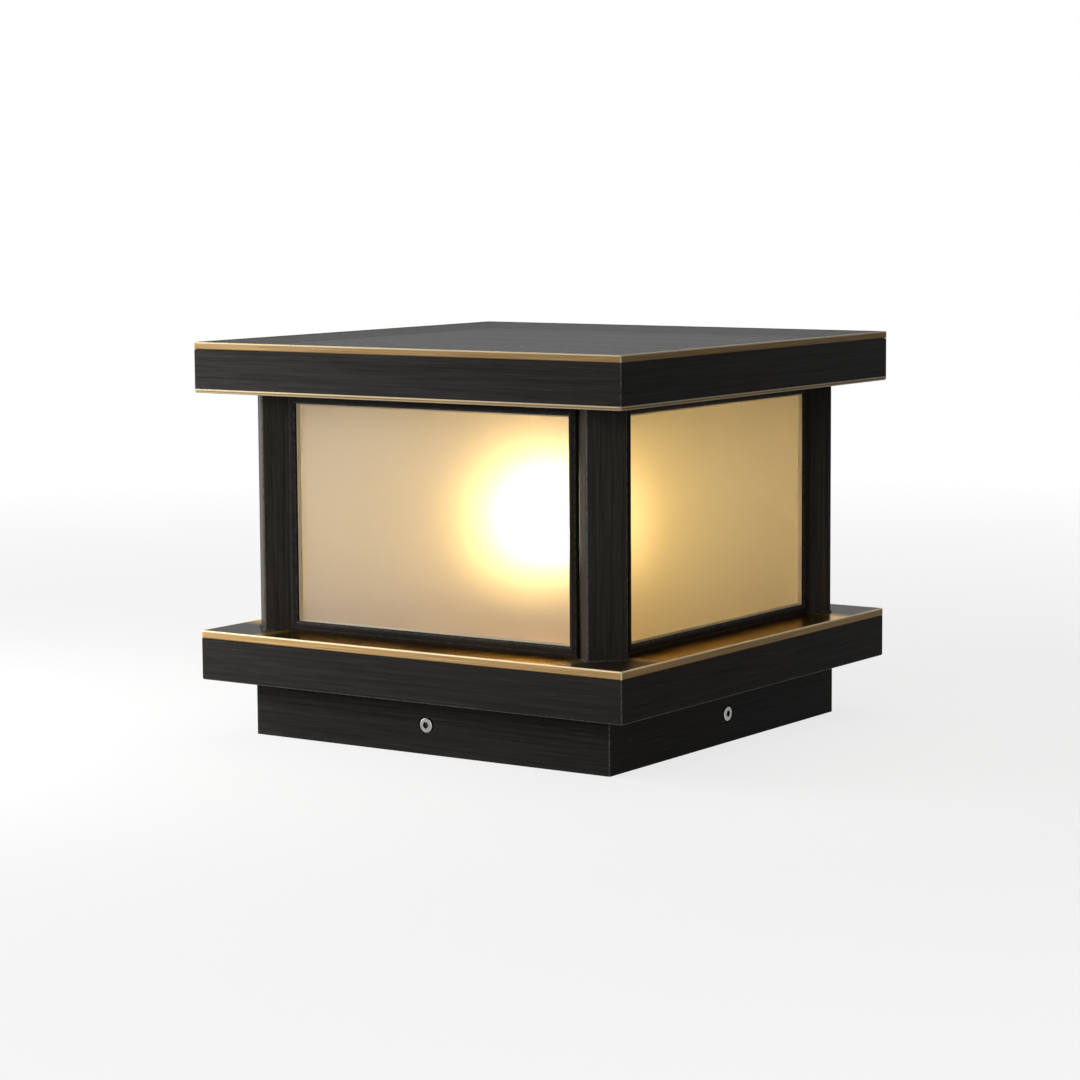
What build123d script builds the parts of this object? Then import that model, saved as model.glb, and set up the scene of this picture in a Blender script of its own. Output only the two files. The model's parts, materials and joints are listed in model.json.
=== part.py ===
from build123d import *
import math
import os

# Square solar pillar light: a lamp body that slips over a base plate bolted to the pillar.
# Millimetres, +Z up, origin at the centre of the underside. The front faces -Y.

# Overall form
CAP_SIDE = 250.0
CAP_HEIGHT = 25.0
LANTERN_HEIGHT = 117.8
TRAY_SETBACK = 0.8
TRAY_HEIGHT = 24.6
PLINTH_SETBACK = 19.0
PLINTH_HEIGHT = 28.4
SHEET = 1.5
CORNER_RADIUS = 1.2

# Brass bands along the edges of the cap and the tray
BAND_DEPTH = 0.9
BAND_SHADOW = 0.3
BAND_ROUND = 0.4
CAP_BAND = 3.4
TRAY_BAND = 3.8
CAP_LIP_BAND = 2.0
CAP_LIP_ROUND = 1.2
TRAY_FOOT_ROUND = 1.0

# Corner posts, square tubes turned so that a flat faces each corner
POST_SIDE = 19.5
POST_WALL = 1.5
POST_ROUND = 1.3
POST_INSET = 28.7

# Glazed frames between the posts
FRAME_PROUD = 5.5
FRAME_GAP = 0.6
LIP = 1.6
STILE = 4.5
RAIL = 5.2
FLANGE = 1.2
FLANGE_DEPTH = 14.0
GASKET = 0.5
GASKET_SETBACK = 0.3
GLASS = 3.0
PANE_SIDE_GAP = 0.1
PANE_END_GAP = 0.6
CLIP_WIDTH = 8.0
CLIP_SPREAD = 45.0
CLIP_SHEET = 1.0
CLIP_FOOT = 6.0
CLIP_HEIGHT = 3.6

# Ceiling of the lantern and fixing of the cap
SOFFIT_RISE = 3.0
SOFFIT_PLAY = 0.2
SOFFIT_LAP = 3.0
REFLECTOR = 1.0
REFLECTOR_LAP = 6.0
CAP_BLOCK = 13.5
CAP_BLOCK_HEIGHT = 10.0
CAP_SCREW_DEPTH = 8.0

# Solar panel that fills the top of the cap
PANEL_SUNK = 0.2
PANEL_GLASS = 3.2
PANEL_CELL = 0.4
PANEL_BACK = 1.0
PANEL_SEAL = 1.0
PANEL_LEDGE = 8.0
CELL_MARGIN = 5.0
CELL_GAP = 2.0
CELL_COLUMNS = 2
CELL_ROWS = 6
JUNCTION_LENGTH = 26.0
JUNCTION_WIDTH = 20.0
JUNCTION_HEIGHT = 11.0
JUNCTION_REACH = 70.0

# Base plate and its tabs
PLATE = 3.0
PLATE_PLAY = 0.6
PLATE_CORNER = 3.0
BOLT_SPACING = 130.0
BOLT_HOLE = 7.0
TAB_WIDTH = 36.0
TAB_ABOVE_SCREW = 8.0
TAB_RELIEF = 2.0
TAB_PLAY = 1.5

# Side screws sunk in the plinth's sides, their washers and the nuts welded inside the plinth
SIDE_SHANK = 4.0
SIDE_HEAD = 7.2
SIDE_HEAD_HEIGHT = 1.4
SIDE_HEAD_ROUND = 0.5
SIDE_HEX = 3.0
SIDE_HEX_DEPTH = 1.0
WASHER = 8.8
WASHER_THICK = 0.4
WELD_NUT_RIM = 1.6
WELD_NUT_THICK = 3.2
TIP_GAP = 0.3
TURN_GAP = 0.1

# Small screws
SCREW_SHANK = 4.0
SCREW_HEAD = 7.0
SCREW_HEAD_HEIGHT = 2.6
SCREW_FIT = 0.05
SCREW_CLEAR = 0.2
FINE_SHANK = 3.0
FINE_HEAD = 5.6
FINE_HEAD_HEIGHT = 1.8

# Hidden flange that joins the plinth to the tray, and the way through the tray for the bulb
PLINTH_FLANGE = 10.0
TRAY_HOLE = 90.0

# Bracket and lamp holder
BRACKET_SHEET = 2.0
BRACKET_WIDTH = 40.0
BRACKET_SPAN = 64.0
BRACKET_HEIGHT = 24.5
BRACKET_FOOT = 14.0
BRACKET_SCREW_SPREAD = 24.0
HOLDER_FOOT = 36.0
HOLDER_FOOT_HEIGHT = 18.5
HOLDER_CUP = 41.0
HOLDER_CUP_HEIGHT = 26.5
HOLDER_FLOOR = 2.0
HOLDER_SHELL = 0.8
HOLDER_SCREW_SPREAD = 22.0
HOLDER_SCREW_DEPTH = 9.0
HOLDER_INLET = 8.0
HOLDER_INLET_RISE = 8.5
HOLDER_CONTACT = 8.0

# Globe bulb with a plain screw cap
BULB_GLOBE = 56.0
BULB_WALL = 1.2
BULB_HOUSING_HEIGHT = 10.0
BULB_HOUSING_TOP = 33.0
BULB_HOUSING_FOOT = 27.2
BULB_CAP = 26.4
BULB_CAP_LENGTH = 21.0
BULB_CAP_WALL = 0.7
BULB_TIP = 10.0
BULB_TIP_HEIGHT = 1.4
BULB_BOARD = 26.4
BULB_BOARD_THICK = 1.6
BULB_BOARD_SUNK = 2.0
BULB_FIT = 0.05
BULB_REST_GAP = 0.5
BULB_TIP_GAP = 0.3

# Battery
CELL_DIAMETER = 18.3
CELL_LENGTH = 65.0
CELL_COUNT = 2
CELL_PLAY = 0.4
CRADLE_WALL = 1.6
CRADLE_HEIGHT = 16.0
SIDE_BAY_GAP = 3.0

# Charge board, its spacers, terminals and the plug-in joint for the solar lead
BOARD_WIDTH = 40.0
BOARD_LENGTH = 60.0
BOARD_THICK = 1.6
BOARD_SPACER = 7.0
BOARD_SPACER_HEIGHT = 7.0
TERMINAL_WIDTH = 7.0
TERMINAL_LENGTH = 28.0
TERMINAL_HEIGHT = 7.4
SOCKET_WIDTH = 12.0
SOCKET_LENGTH = 18.0
SOCKET_HEIGHT = 12.0
PIN = 3.0
PIN_SPREAD = 9.0
PIN_LENGTH = 10.0
PIN_FIT = 0.1
PIN_END_GAP = 1.0
PLUG_GAP = 1.0

# Leads held inside the light
LEAD = 3.0
LEAD_BEND = 7.0
LEAD_CAP_BEND = 9.0
LEAD_SHORT_BEND = 4.0
LEAD_SPREAD = 16.0
LEAD_SEAT = 0.2
LEAD_HOLE = 11.4

# Push switch under the tray's overhang
SWITCH_BODY = 12.0
SWITCH_BEZEL = 15.0
SWITCH_BEZEL_HEIGHT = 1.5
SWITCH_HEIGHT = 14.0
SWITCH_FIT = 0.1
BUTTON = 9.0
BUTTON_FIT = 0.1
BUTTON_PROUD = 2.6
BUTTON_TRAVEL = 2.0
BUTTON_DEPTH = 5.0
BUTTON_END_GAP = 0.6

# Names and angles of the four sides and corners, counted from the front
SIDE_NAMES = ("front", "right", "back", "left")
CORNER_NAMES = ("front_right", "back_right", "back_left", "front_left")
QUARTERS = [360 * i / len(SIDE_NAMES) for i in range(len(SIDE_NAMES))]
EIGHTH = QUARTERS[1] / 2
SIDES = dict(zip(SIDE_NAMES, QUARTERS))
CORNERS = dict(zip(CORNER_NAMES, QUARTERS))
DIAGONAL = math.sqrt(2)

# Reach of the tests that pick an edge by its place
SHARP = 0.05
EDGE_REACH = 0.5

# Heights and half sizes worked out from the driving dimensions
tray_z = PLINTH_HEIGHT
lantern_z = tray_z + TRAY_HEIGHT
cap_z = lantern_z + LANTERN_HEIGHT
top_z = cap_z + CAP_HEIGHT
cap_half = CAP_SIDE / 2
cap_inner = cap_half - SHEET
tray_half = cap_half - TRAY_SETBACK
tray_inner = tray_half - SHEET
plinth_half = tray_half - PLINTH_SETBACK
plinth_inner = plinth_half - SHEET
throat_half = plinth_inner - PLINTH_FLANGE
tray_under = lantern_z - SHEET
ceiling_z = cap_z + SOFFIT_RISE
soffit_top = ceiling_z + SHEET

post_centre = tray_half - POST_INSET
post_reach = POST_SIDE / DIAGONAL
frame_plane = post_centre + FRAME_PROUD
frame_half = post_centre - post_reach + FRAME_PROUD - LIP - FRAME_GAP
sight_half = frame_half - STILE
pane_half = post_centre - post_reach - PANE_SIDE_GAP
pane_front = frame_plane - LIP - GASKET
pane_back = pane_front - GLASS
pane_z0 = lantern_z + FLANGE + PANE_END_GAP
pane_z1 = ceiling_z - FLANGE - PANE_END_GAP
soffit_open = sight_half - SOFFIT_LAP
reflector_half = soffit_open + REFLECTOR_LAP

panel_half = cap_inner - PANEL_SEAL
panel_z1 = top_z - PANEL_SUNK
panel_glass_z = panel_z1 - PANEL_GLASS
panel_cell_z = panel_glass_z - PANEL_CELL
panel_z0 = panel_cell_z - PANEL_BACK

screw_z = PLINTH_HEIGHT / 2
plate_half = plinth_inner - PLATE_PLAY
tab_out = plinth_inner - WELD_NUT_THICK - TAB_PLAY
tab_top = screw_z + TAB_ABOVE_SCREW
screw_clear = SCREW_SHANK / 2 + SCREW_CLEAR
screw_thread = SCREW_SHANK / 2 + SCREW_FIT
fine_clear = FINE_SHANK / 2 + SCREW_CLEAR
side_thread = SIDE_SHANK / 2 + SCREW_FIT
side_clear = SIDE_SHANK / 2 + SCREW_CLEAR
side_hole = WASHER / 2 + SCREW_FIT
weld_nut = side_hole + WELD_NUT_RIM
washer_out = plinth_inner + WASHER_THICK

bracket_top = PLATE + BRACKET_HEIGHT
holder_step = bracket_top + HOLDER_FOOT_HEIGHT
holder_top = holder_step + HOLDER_CUP_HEIGHT
holder_floor = holder_step + HOLDER_FLOOR
shell_inner = BULB_CAP / 2 + BULB_FIT
shell_outer = shell_inner + HOLDER_SHELL
bulb_foot = holder_top + BULB_REST_GAP
bulb_cap_z = bulb_foot - BULB_CAP_LENGTH
bulb_rim = bulb_foot + BULB_HOUSING_HEIGHT
bulb_centre = bulb_rim + math.sqrt((BULB_GLOBE / 2) ** 2 - (BULB_HOUSING_TOP / 2) ** 2)

bay_x = BRACKET_WIDTH / 2 + SIDE_BAY_GAP
cradle_inner = CELL_COUNT * (CELL_DIAMETER + CELL_PLAY) + CELL_PLAY
cradle_width = cradle_inner + 2 * CRADLE_WALL
cradle_length = CELL_LENGTH + 2 * CELL_PLAY + 2 * CRADLE_WALL
board_z = PLATE + BOARD_SPACER_HEIGHT
board_top = board_z + BOARD_THICK
terminal_top = board_top + TERMINAL_HEIGHT
socket_x = bay_x + BOARD_WIDTH - SOCKET_WIDTH / 2
socket_top = board_top + SOCKET_HEIGHT
plug_z = socket_top + PLUG_GAP
lead_run_z = tray_under - LEAD / 2 - LEAD_SEAT
switch_y = (plinth_half + tray_half) / 2
switch_top = tray_z + SHEET + SWITCH_HEIGHT
button_z0 = tray_z - SWITCH_BEZEL_HEIGHT - BUTTON_PROUD
button_z1 = tray_z + SHEET + BUTTON_DEPTH


def outline(half_x, half_y, radius):
    """Flat rectangle about the origin, with its corners rounded where a radius is left."""
    if radius > SHARP:
        return RectangleRounded(2 * half_x, 2 * half_y, radius)
    return Rectangle(2 * half_x, 2 * half_y)


def prism(half_x, half_y, z0, z1, radius=0.0, at=(0.0, 0.0)):
    """Upright block about a point, with its upright edges rounded."""
    return Pos(at[0], at[1], z0) * extrude(outline(half_x, half_y, radius), z1 - z0)


def ring(half_out, half_in, z0, z1, radius=0.0):
    """Square ring about the axis, of even width round its corners."""
    inside = radius - (half_out - half_in)
    return prism(half_out, half_out, z0, z1, radius) - prism(half_in, half_in, z0, z1, inside)


def block(x0, x1, y0, y1, z0, z1):
    """Block between limits."""
    return Pos((x0 + x1) / 2, (y0 + y1) / 2, (z0 + z1) / 2) * Box(x1 - x0, y1 - y0, z1 - z0)


def rod(radius, z0, z1, at=(0.0, 0.0)):
    """Upright cylinder."""
    return Pos(at[0], at[1], z0) * extrude(Circle(radius), z1 - z0)


def outward(sketch, start, end, height):
    """Extrudes a sketch along the front's normal, between two distances from the axis."""
    face = Plane(origin=(0, -start, height), x_dir=(1, 0, 0), z_dir=(0, -1, 0))
    return extrude(face * sketch, end - start)


def turned(shape, angle):
    """Turns a shape about the upright axis."""
    return Rot(0, 0, angle) * shape


def four_points(half_x, half_y, centre=(0.0, 0.0)):
    """Corners of a rectangle."""
    return [(centre[0] + i * half_x, centre[1] + j * half_y) for i in (-1, 1) for j in (-1, 1)]


def group(shapes):
    """Separate solids kept in one node."""
    return Compound([solid for shape in shapes for solid in shape.solids()])


def soften(shape, half, height, radius):
    """Rounds the outer edge of a square ring or box at one height."""
    def on_edge(edge):
        middle = edge @ 0.5
        outer = max(abs(middle.X), abs(middle.Y)) > half - EDGE_REACH
        return outer and abs((edge @ 0).Z - height) < SHARP and abs((edge @ 1).Z - height) < SHARP
    return fillet(shape.edges().filter_by(on_edge), radius)


def pan_screw(shank, head, head_height, seat, tip, at, up):
    """Screw with a flat head seated at one height and its tip at another."""
    back = seat + head_height if up else seat - head_height
    low, high = sorted((seat, back))
    shank_low, shank_high = sorted((seat, tip))
    return rod(head / 2, low, high, at) + rod(shank / 2, shank_low, shank_high, at)


def lead_tube(points, bends):
    """Lead along straight runs joined by arcs."""
    path = FilletPolyline(*points, radius=bends)
    return sweep(Plane(origin=path @ 0, z_dir=path % 0) * Circle(LEAD / 2), path=path)


# Base that stays bolted to the pillar
def mounting_plate():
    """Plate with a tab turned up at the middle of each side for the side screws to press on."""
    plate = prism(plate_half, plate_half, 0, PLATE, PLATE_CORNER)
    half_tab = TAB_WIDTH / 2
    notch = block(-half_tab - TAB_RELIEF, half_tab + TAB_RELIEF, -plinth_half, -tab_out, 0, PLATE)
    tab = block(-half_tab, half_tab, -tab_out, -tab_out + PLATE, 0, tab_top)
    for angle in QUARTERS:
        plate = plate - turned(notch, angle) + turned(tab, angle)
    for point in four_points(BOLT_SPACING / 2, BOLT_SPACING / 2):
        plate -= rod(BOLT_HOLE / 2, 0, PLATE, point)
    for point in bracket_screw_points():
        plate -= rod(screw_thread, 0, PLATE, point)
    return plate


def bracket_screw_points():
    """Places of the screws through the bracket's feet."""
    return four_points(BRACKET_SCREW_SPREAD / 2, BRACKET_SPAN / 2 + BRACKET_FOOT / 2)


def lamp_bracket():
    """Folded bridge that carries the lamp holder over the leads."""
    half_x = BRACKET_WIDTH / 2
    half_y = BRACKET_SPAN / 2
    reach = half_y + BRACKET_FOOT
    bridge = block(-half_x, half_x, -half_y, half_y, PLATE, bracket_top)
    bridge -= block(-half_x, half_x, -half_y + BRACKET_SHEET, half_y - BRACKET_SHEET,
                    PLATE, bracket_top - BRACKET_SHEET)
    for y0, y1 in ((-reach, -half_y), (half_y, reach)):
        bridge += block(-half_x, half_x, y0, y1, PLATE, PLATE + BRACKET_SHEET)
    for point in bracket_screw_points():
        bridge -= rod(screw_clear, PLATE, PLATE + BRACKET_SHEET, point)
    for y in (-HOLDER_SCREW_SPREAD / 2, HOLDER_SCREW_SPREAD / 2):
        bridge -= rod(screw_clear, bracket_top - BRACKET_SHEET, bracket_top, (0, y))
    return bridge


def bracket_screws():
    """Four screws that hold the bracket's feet to the plate."""
    seat = PLATE + BRACKET_SHEET
    return group(pan_screw(SCREW_SHANK, SCREW_HEAD, SCREW_HEAD_HEIGHT, seat, TIP_GAP, point, True)
                 for point in bracket_screw_points())


def lamp_holder():
    """Moulded holder: a foot on the bracket, and a cup that the bulb turns into."""
    holder = rod(HOLDER_FOOT / 2, bracket_top, holder_step) + rod(HOLDER_CUP / 2, holder_step, holder_top)
    holder -= rod(shell_outer + SCREW_FIT, holder_floor, holder_top)
    half_inlet = HOLDER_INLET / 2
    inlet_y = -LEAD_SPREAD / 2
    inlet_z = bracket_top + HOLDER_INLET_RISE
    holder += block(0, HOLDER_CUP / 2, inlet_y - half_inlet, inlet_y + half_inlet,
                    inlet_z - half_inlet, inlet_z + half_inlet)
    for y in (-HOLDER_SCREW_SPREAD / 2, HOLDER_SCREW_SPREAD / 2):
        holder -= rod(screw_thread, bracket_top, bracket_top + HOLDER_SCREW_DEPTH, (0, y))
    return holder


def holder_shell():
    """Metal sleeve in the cup that the bulb's cap runs in."""
    return rod(shell_outer, holder_floor, holder_top) - rod(shell_inner, holder_floor, holder_top)


def holder_contact():
    """Contact at the bottom of the cup."""
    return rod(HOLDER_CONTACT / 2, holder_floor, bulb_cap_z - BULB_TIP_HEIGHT - BULB_TIP_GAP)


def holder_screws():
    """Two screws up through the bracket into the holder."""
    seat = bracket_top - BRACKET_SHEET
    tip = bracket_top + HOLDER_SCREW_DEPTH - TIP_GAP
    return group(pan_screw(SCREW_SHANK, SCREW_HEAD, SCREW_HEAD_HEIGHT, seat, tip, (0, y), False)
                 for y in (-HOLDER_SCREW_SPREAD / 2, HOLDER_SCREW_SPREAD / 2))


def battery_cradle():
    """Open tray that holds the cells beside the bracket."""
    half_x = cradle_width / 2
    half_y = cradle_length / 2
    at = (-bay_x - half_x, 0)
    tray = prism(half_x, half_y, PLATE, PLATE + CRADLE_HEIGHT, CRADLE_WALL, at)
    return tray - prism(half_x - CRADLE_WALL, half_y - CRADLE_WALL, PLATE + CRADLE_WALL,
                        PLATE + CRADLE_HEIGHT, 0, at)


def battery_cells():
    """Round cells side by side in the cradle."""
    radius = CELL_DIAMETER / 2
    z = PLATE + CRADLE_WALL + SCREW_FIT + radius
    pitch = CELL_DIAMETER + CELL_PLAY
    first = -bay_x - CRADLE_WALL - CELL_PLAY - radius
    cell = outward(Circle(radius), -CELL_LENGTH / 2, CELL_LENGTH / 2, z)
    return group(Pos(first - i * pitch, 0, 0) * cell for i in range(CELL_COUNT))


def charge_board():
    """Circuit board with its terminal block."""
    half_y = BOARD_LENGTH / 2
    board = block(bay_x, bay_x + BOARD_WIDTH, -half_y, half_y, board_z, board_top)
    half_y = TERMINAL_LENGTH / 2
    return board + block(bay_x, bay_x + TERMINAL_WIDTH, -half_y, half_y, board_top, terminal_top)


def board_spacers():
    """Spacers that stand the board off the plate."""
    centre = (bay_x + BOARD_WIDTH / 2, 0)
    inset = BOARD_SPACER / 2
    points = four_points(BOARD_WIDTH / 2 - inset, BOARD_LENGTH / 2 - inset, centre)
    return group(rod(BOARD_SPACER / 2, PLATE, board_z, point) for point in points)


def pin_points():
    """Places of the two contacts of the solar plug."""
    return [(socket_x, -PIN_SPREAD / 2), (socket_x, PIN_SPREAD / 2)]


def solar_socket():
    """Socket on the board that the plug leaves when the lamp body is lifted."""
    half_x = SOCKET_WIDTH / 2
    half_y = SOCKET_LENGTH / 2
    socket = prism(half_x, half_y, board_top, socket_top, 0, (socket_x, 0))
    for point in pin_points():
        socket -= rod(PIN / 2 + PIN_FIT, socket_top - PIN_LENGTH, socket_top, point)
    return socket


def battery_lead():
    """Lead from the cradle to the board, under the bracket."""
    z = board_top + TERMINAL_HEIGHT / 2
    lead = extrude(Plane(origin=(-bay_x, LEAD_SPREAD / 2, z), z_dir=(1, 0, 0)) * Circle(LEAD / 2), 2 * bay_x)
    return lead


def lamp_lead():
    """Lead from the terminal block up to the lamp holder."""
    x = bay_x + TERMINAL_WIDTH / 2
    y = -LEAD_SPREAD / 2
    z = bracket_top + HOLDER_INLET_RISE
    return lead_tube([(x, y, terminal_top), (x, y, z), (HOLDER_CUP / 2, y, z)], [LEAD_SHORT_BEND])


# Lamp body: plinth and tray
def plinth():
    """Skirt round the base plate, turned in at the top where it joins the tray."""
    skirt = ring(plinth_half, plinth_inner, 0, tray_z, CORNER_RADIUS)
    skirt += ring(plinth_inner, throat_half, tray_z - SHEET, tray_z)
    for angle in QUARTERS:
        skirt -= turned(outward(Circle(side_hole), plinth_inner, plinth_half, screw_z), angle)
    return skirt


def weld_nuts():
    """Nuts welded inside the plinth, over the holes for the side screws."""
    start = plinth_inner - WELD_NUT_THICK
    nut = outward(RegularPolygon(weld_nut, 6, major_radius=False), start, plinth_inner, screw_z)
    nut -= outward(Circle(side_thread), start, plinth_inner, screw_z)
    return group(turned(nut, angle) for angle in QUARTERS)


def screw_washers():
    """Dark washers on the weld nuts, under the heads of the side screws."""
    washer = outward(Circle(WASHER / 2), plinth_inner, washer_out, screw_z)
    washer -= outward(Circle(side_clear), plinth_inner, washer_out, screw_z)
    return group(turned(washer, angle) for angle in QUARTERS)


def side_screw(side):
    """Low socket-head screw whose tip bears on a tab of the base plate."""
    seat = washer_out + TURN_GAP
    end = seat + SIDE_HEAD_HEIGHT
    head = outward(Circle(SIDE_HEAD / 2), seat, end, screw_z)
    rim = head.edges().filter_by(lambda edge: abs((edge @ 0).Y + end) < SHARP)
    head = fillet(rim, SIDE_HEAD_ROUND)
    head -= outward(RegularPolygon(SIDE_HEX / 2, 6, major_radius=False), end - SIDE_HEX_DEPTH, end, screw_z)
    screw = head + outward(Circle(SIDE_SHANK / 2), tab_out + TIP_GAP, seat, screw_z)
    return turned(screw, SIDES[side])


def tray_shell():
    """Shallow box with a hole for the bulb, turned in underneath to meet the plinth."""
    shell = prism(tray_half, tray_half, tray_z, lantern_z, CORNER_RADIUS)
    shell = soften(shell, tray_half, tray_z, TRAY_FOOT_ROUND)
    shell -= prism(tray_inner, tray_inner, tray_z + SHEET, tray_under)
    shell -= prism(throat_half, throat_half, tray_z, tray_z + SHEET)
    band_z = lantern_z - TRAY_BAND - BAND_SHADOW
    shell -= ring(tray_half, tray_half - BAND_DEPTH, band_z, lantern_z, CORNER_RADIUS)
    shell -= rod(TRAY_HOLE / 2, tray_under, lantern_z)
    shell -= rod(LEAD_HOLE / 2, tray_under, lantern_z, (post_centre, post_centre))
    shell -= rod(SWITCH_BODY / 2 + SWITCH_FIT, tray_z, tray_z + SHEET, (socket_x, switch_y))
    return shell


def edge_band(half, z1, height):
    """Brass band let into an upper edge, with its rim rounded."""
    band = ring(half, half - BAND_DEPTH, z1 - height, z1, CORNER_RADIUS)
    return soften(band, half, z1, BAND_ROUND)


# Lamp body: posts and glazed frames
def post(corner):
    """Square tube turned by an eighth, standing on the tray under the cap."""
    half = POST_SIDE / 2
    inner = half - POST_WALL
    tube = prism(half, half, lantern_z, ceiling_z, POST_ROUND)
    tube -= prism(inner, inner, lantern_z, ceiling_z)
    return turned(Pos(post_centre, -post_centre, 0) * turned(tube, EIGHTH), CORNERS[corner])


def panel_frame(side):
    """Flat frame round the glass, with flanges on the tray and under the cap."""
    face = frame_plane - LIP
    frame = block(-frame_half, frame_half, -frame_plane, -face, lantern_z, ceiling_z)
    frame -= block(-sight_half, sight_half, -frame_plane, -face, lantern_z + RAIL, cap_z - RAIL)
    depth = frame_plane - FLANGE_DEPTH
    for z0, z1 in ((lantern_z, lantern_z + FLANGE), (ceiling_z - FLANGE, ceiling_z)):
        frame += block(-sight_half, sight_half, -face, -depth, z0, z1)
    return turned(frame, SIDES[side])


def glass_pane(side):
    """Frosted pane behind the frame."""
    return turned(block(-pane_half, pane_half, -pane_front, -pane_back, pane_z0, pane_z1), SIDES[side])


def glazing_gaskets():
    """Thin seals between the frames and the panes."""
    front = frame_plane - LIP
    hole_half = sight_half + GASKET_SETBACK
    hole_z0 = lantern_z + RAIL - GASKET_SETBACK
    hole_z1 = cap_z - RAIL + GASKET_SETBACK
    seal = block(-pane_half, pane_half, -front, -pane_front, pane_z0, pane_z1)
    seal -= block(-hole_half, hole_half, -front, -pane_front, hole_z0, hole_z1)
    return group(turned(seal, angle) for angle in QUARTERS)


def pane_clips():
    """Small angles on the flanges that press the panes forward."""
    back = pane_back - CLIP_SHEET
    foot = back - CLIP_FOOT
    half = CLIP_WIDTH / 2
    clips = []
    for x in (-CLIP_SPREAD, CLIP_SPREAD):
        for seat, way in ((lantern_z + FLANGE, 1), (ceiling_z - FLANGE, -1)):
            low, high = sorted((seat, seat + way * CLIP_HEIGHT))
            foot_low, foot_high = sorted((seat, seat + way * CLIP_SHEET))
            clip = block(x - half, x + half, -pane_back, -back, low, high)
            clip += block(x - half, x + half, -back, -foot, foot_low, foot_high)
            clips += [turned(clip, angle) for angle in QUARTERS]
    return group(clips)


# Lamp body: ceiling and cap
def cap_screw_points():
    """Places of the screws up into the corner blocks of the cap."""
    reach = cap_inner - CAP_BLOCK / 2
    return four_points(reach, reach)


def reflector_screw_points():
    """Places of the screws through the reflector, at the middle of each side."""
    reach = soffit_open + REFLECTOR_LAP / 2
    return [(reach, 0), (0, reach), (-reach, 0), (0, -reach)]


def cap_soffit():
    """Plate under the cap that the posts carry, open in the middle."""
    soffit = ring(cap_inner - SOFFIT_PLAY, soffit_open, ceiling_z, soffit_top)
    soffit -= rod(LEAD_HOLE / 2, ceiling_z, soffit_top, (post_centre, post_centre))
    for point in cap_screw_points():
        soffit -= rod(screw_clear, ceiling_z, soffit_top, point)
    for point in reflector_screw_points():
        soffit -= rod(FINE_SHANK / 2 + SCREW_FIT, ceiling_z, soffit_top, point)
    return soffit


def reflector_plate():
    """White plate that closes the soffit above the bulb."""
    plate = prism(reflector_half, reflector_half, soffit_top, soffit_top + REFLECTOR)
    for point in reflector_screw_points():
        plate -= rod(fine_clear, soffit_top, soffit_top + REFLECTOR, point)
    return plate


def reflector_screws():
    """Screws down through the reflector into the soffit."""
    seat = soffit_top + REFLECTOR
    return group(pan_screw(FINE_SHANK, FINE_HEAD, FINE_HEAD_HEIGHT, seat, ceiling_z, point, True)
                 for point in reflector_screw_points())


def cap_shell():
    """Cap walls with a ledge for the solar panel and a block in each corner for a screw."""
    shell = ring(cap_half, cap_inner, cap_z, top_z, CORNER_RADIUS)
    shell += ring(cap_inner, panel_half - PANEL_LEDGE, panel_z0 - SHEET, panel_z0)
    for point in cap_screw_points():
        half = CAP_BLOCK / 2
        shell += prism(half, half, soffit_top, soffit_top + CAP_BLOCK_HEIGHT, 0, point)
        shell -= rod(screw_thread, soffit_top, soffit_top + CAP_SCREW_DEPTH, point)
    shell -= ring(cap_half, cap_half - BAND_DEPTH, top_z - CAP_BAND - BAND_SHADOW, top_z, CORNER_RADIUS)
    shell -= ring(cap_half, cap_inner, cap_z, cap_z + CAP_LIP_BAND, CORNER_RADIUS)
    return shell


def cap_trim_bottom():
    """Brass strip that finishes the lower edge of the cap."""
    strip = ring(cap_half, cap_inner, cap_z, cap_z + CAP_LIP_BAND, CORNER_RADIUS)
    return soften(strip, cap_half, cap_z, CAP_LIP_ROUND)


def cap_screws():
    """Screws up through the soffit into the cap."""
    tip = soffit_top + CAP_SCREW_DEPTH - TIP_GAP
    return group(pan_screw(SCREW_SHANK, SCREW_HEAD, SCREW_HEAD_HEIGHT, ceiling_z, tip, point, False)
                 for point in cap_screw_points())


# Lamp body: solar panel and its lead
def solar_glass():
    """Cover glass of the panel."""
    return prism(panel_half, panel_half, panel_glass_z, panel_z1)


def solar_cells():
    """Strips of cells in rows under the glass."""
    span = 2 * (panel_half - CELL_MARGIN)
    length = (span - (CELL_COLUMNS - 1) * CELL_GAP) / CELL_COLUMNS
    width = (span - (CELL_ROWS - 1) * CELL_GAP) / CELL_ROWS
    strips = []
    for column in range(CELL_COLUMNS):
        x = (column - (CELL_COLUMNS - 1) / 2) * (length + CELL_GAP)
        for row in range(CELL_ROWS):
            y = (row - (CELL_ROWS - 1) / 2) * (width + CELL_GAP)
            strips.append(prism(length / 2, width / 2, panel_cell_z, panel_glass_z, 0, (x, y)))
    return group(strips)


def solar_backsheet():
    """Board behind the cells, resting on the ledge of the cap."""
    return prism(panel_half, panel_half, panel_z0, panel_cell_z)


def solar_seal():
    """Sealant between the panel and the cap."""
    return ring(cap_inner, panel_half, panel_z0, panel_z1)


def junction_box():
    """Box behind the panel that the solar lead leaves, turned towards the post."""
    middle = JUNCTION_REACH - JUNCTION_LENGTH / 2
    box = block(middle - JUNCTION_LENGTH / 2, middle + JUNCTION_LENGTH / 2,
                -JUNCTION_WIDTH / 2, JUNCTION_WIDTH / 2, panel_z0 - JUNCTION_HEIGHT, panel_z0)
    return turned(box, EIGHTH)


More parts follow.
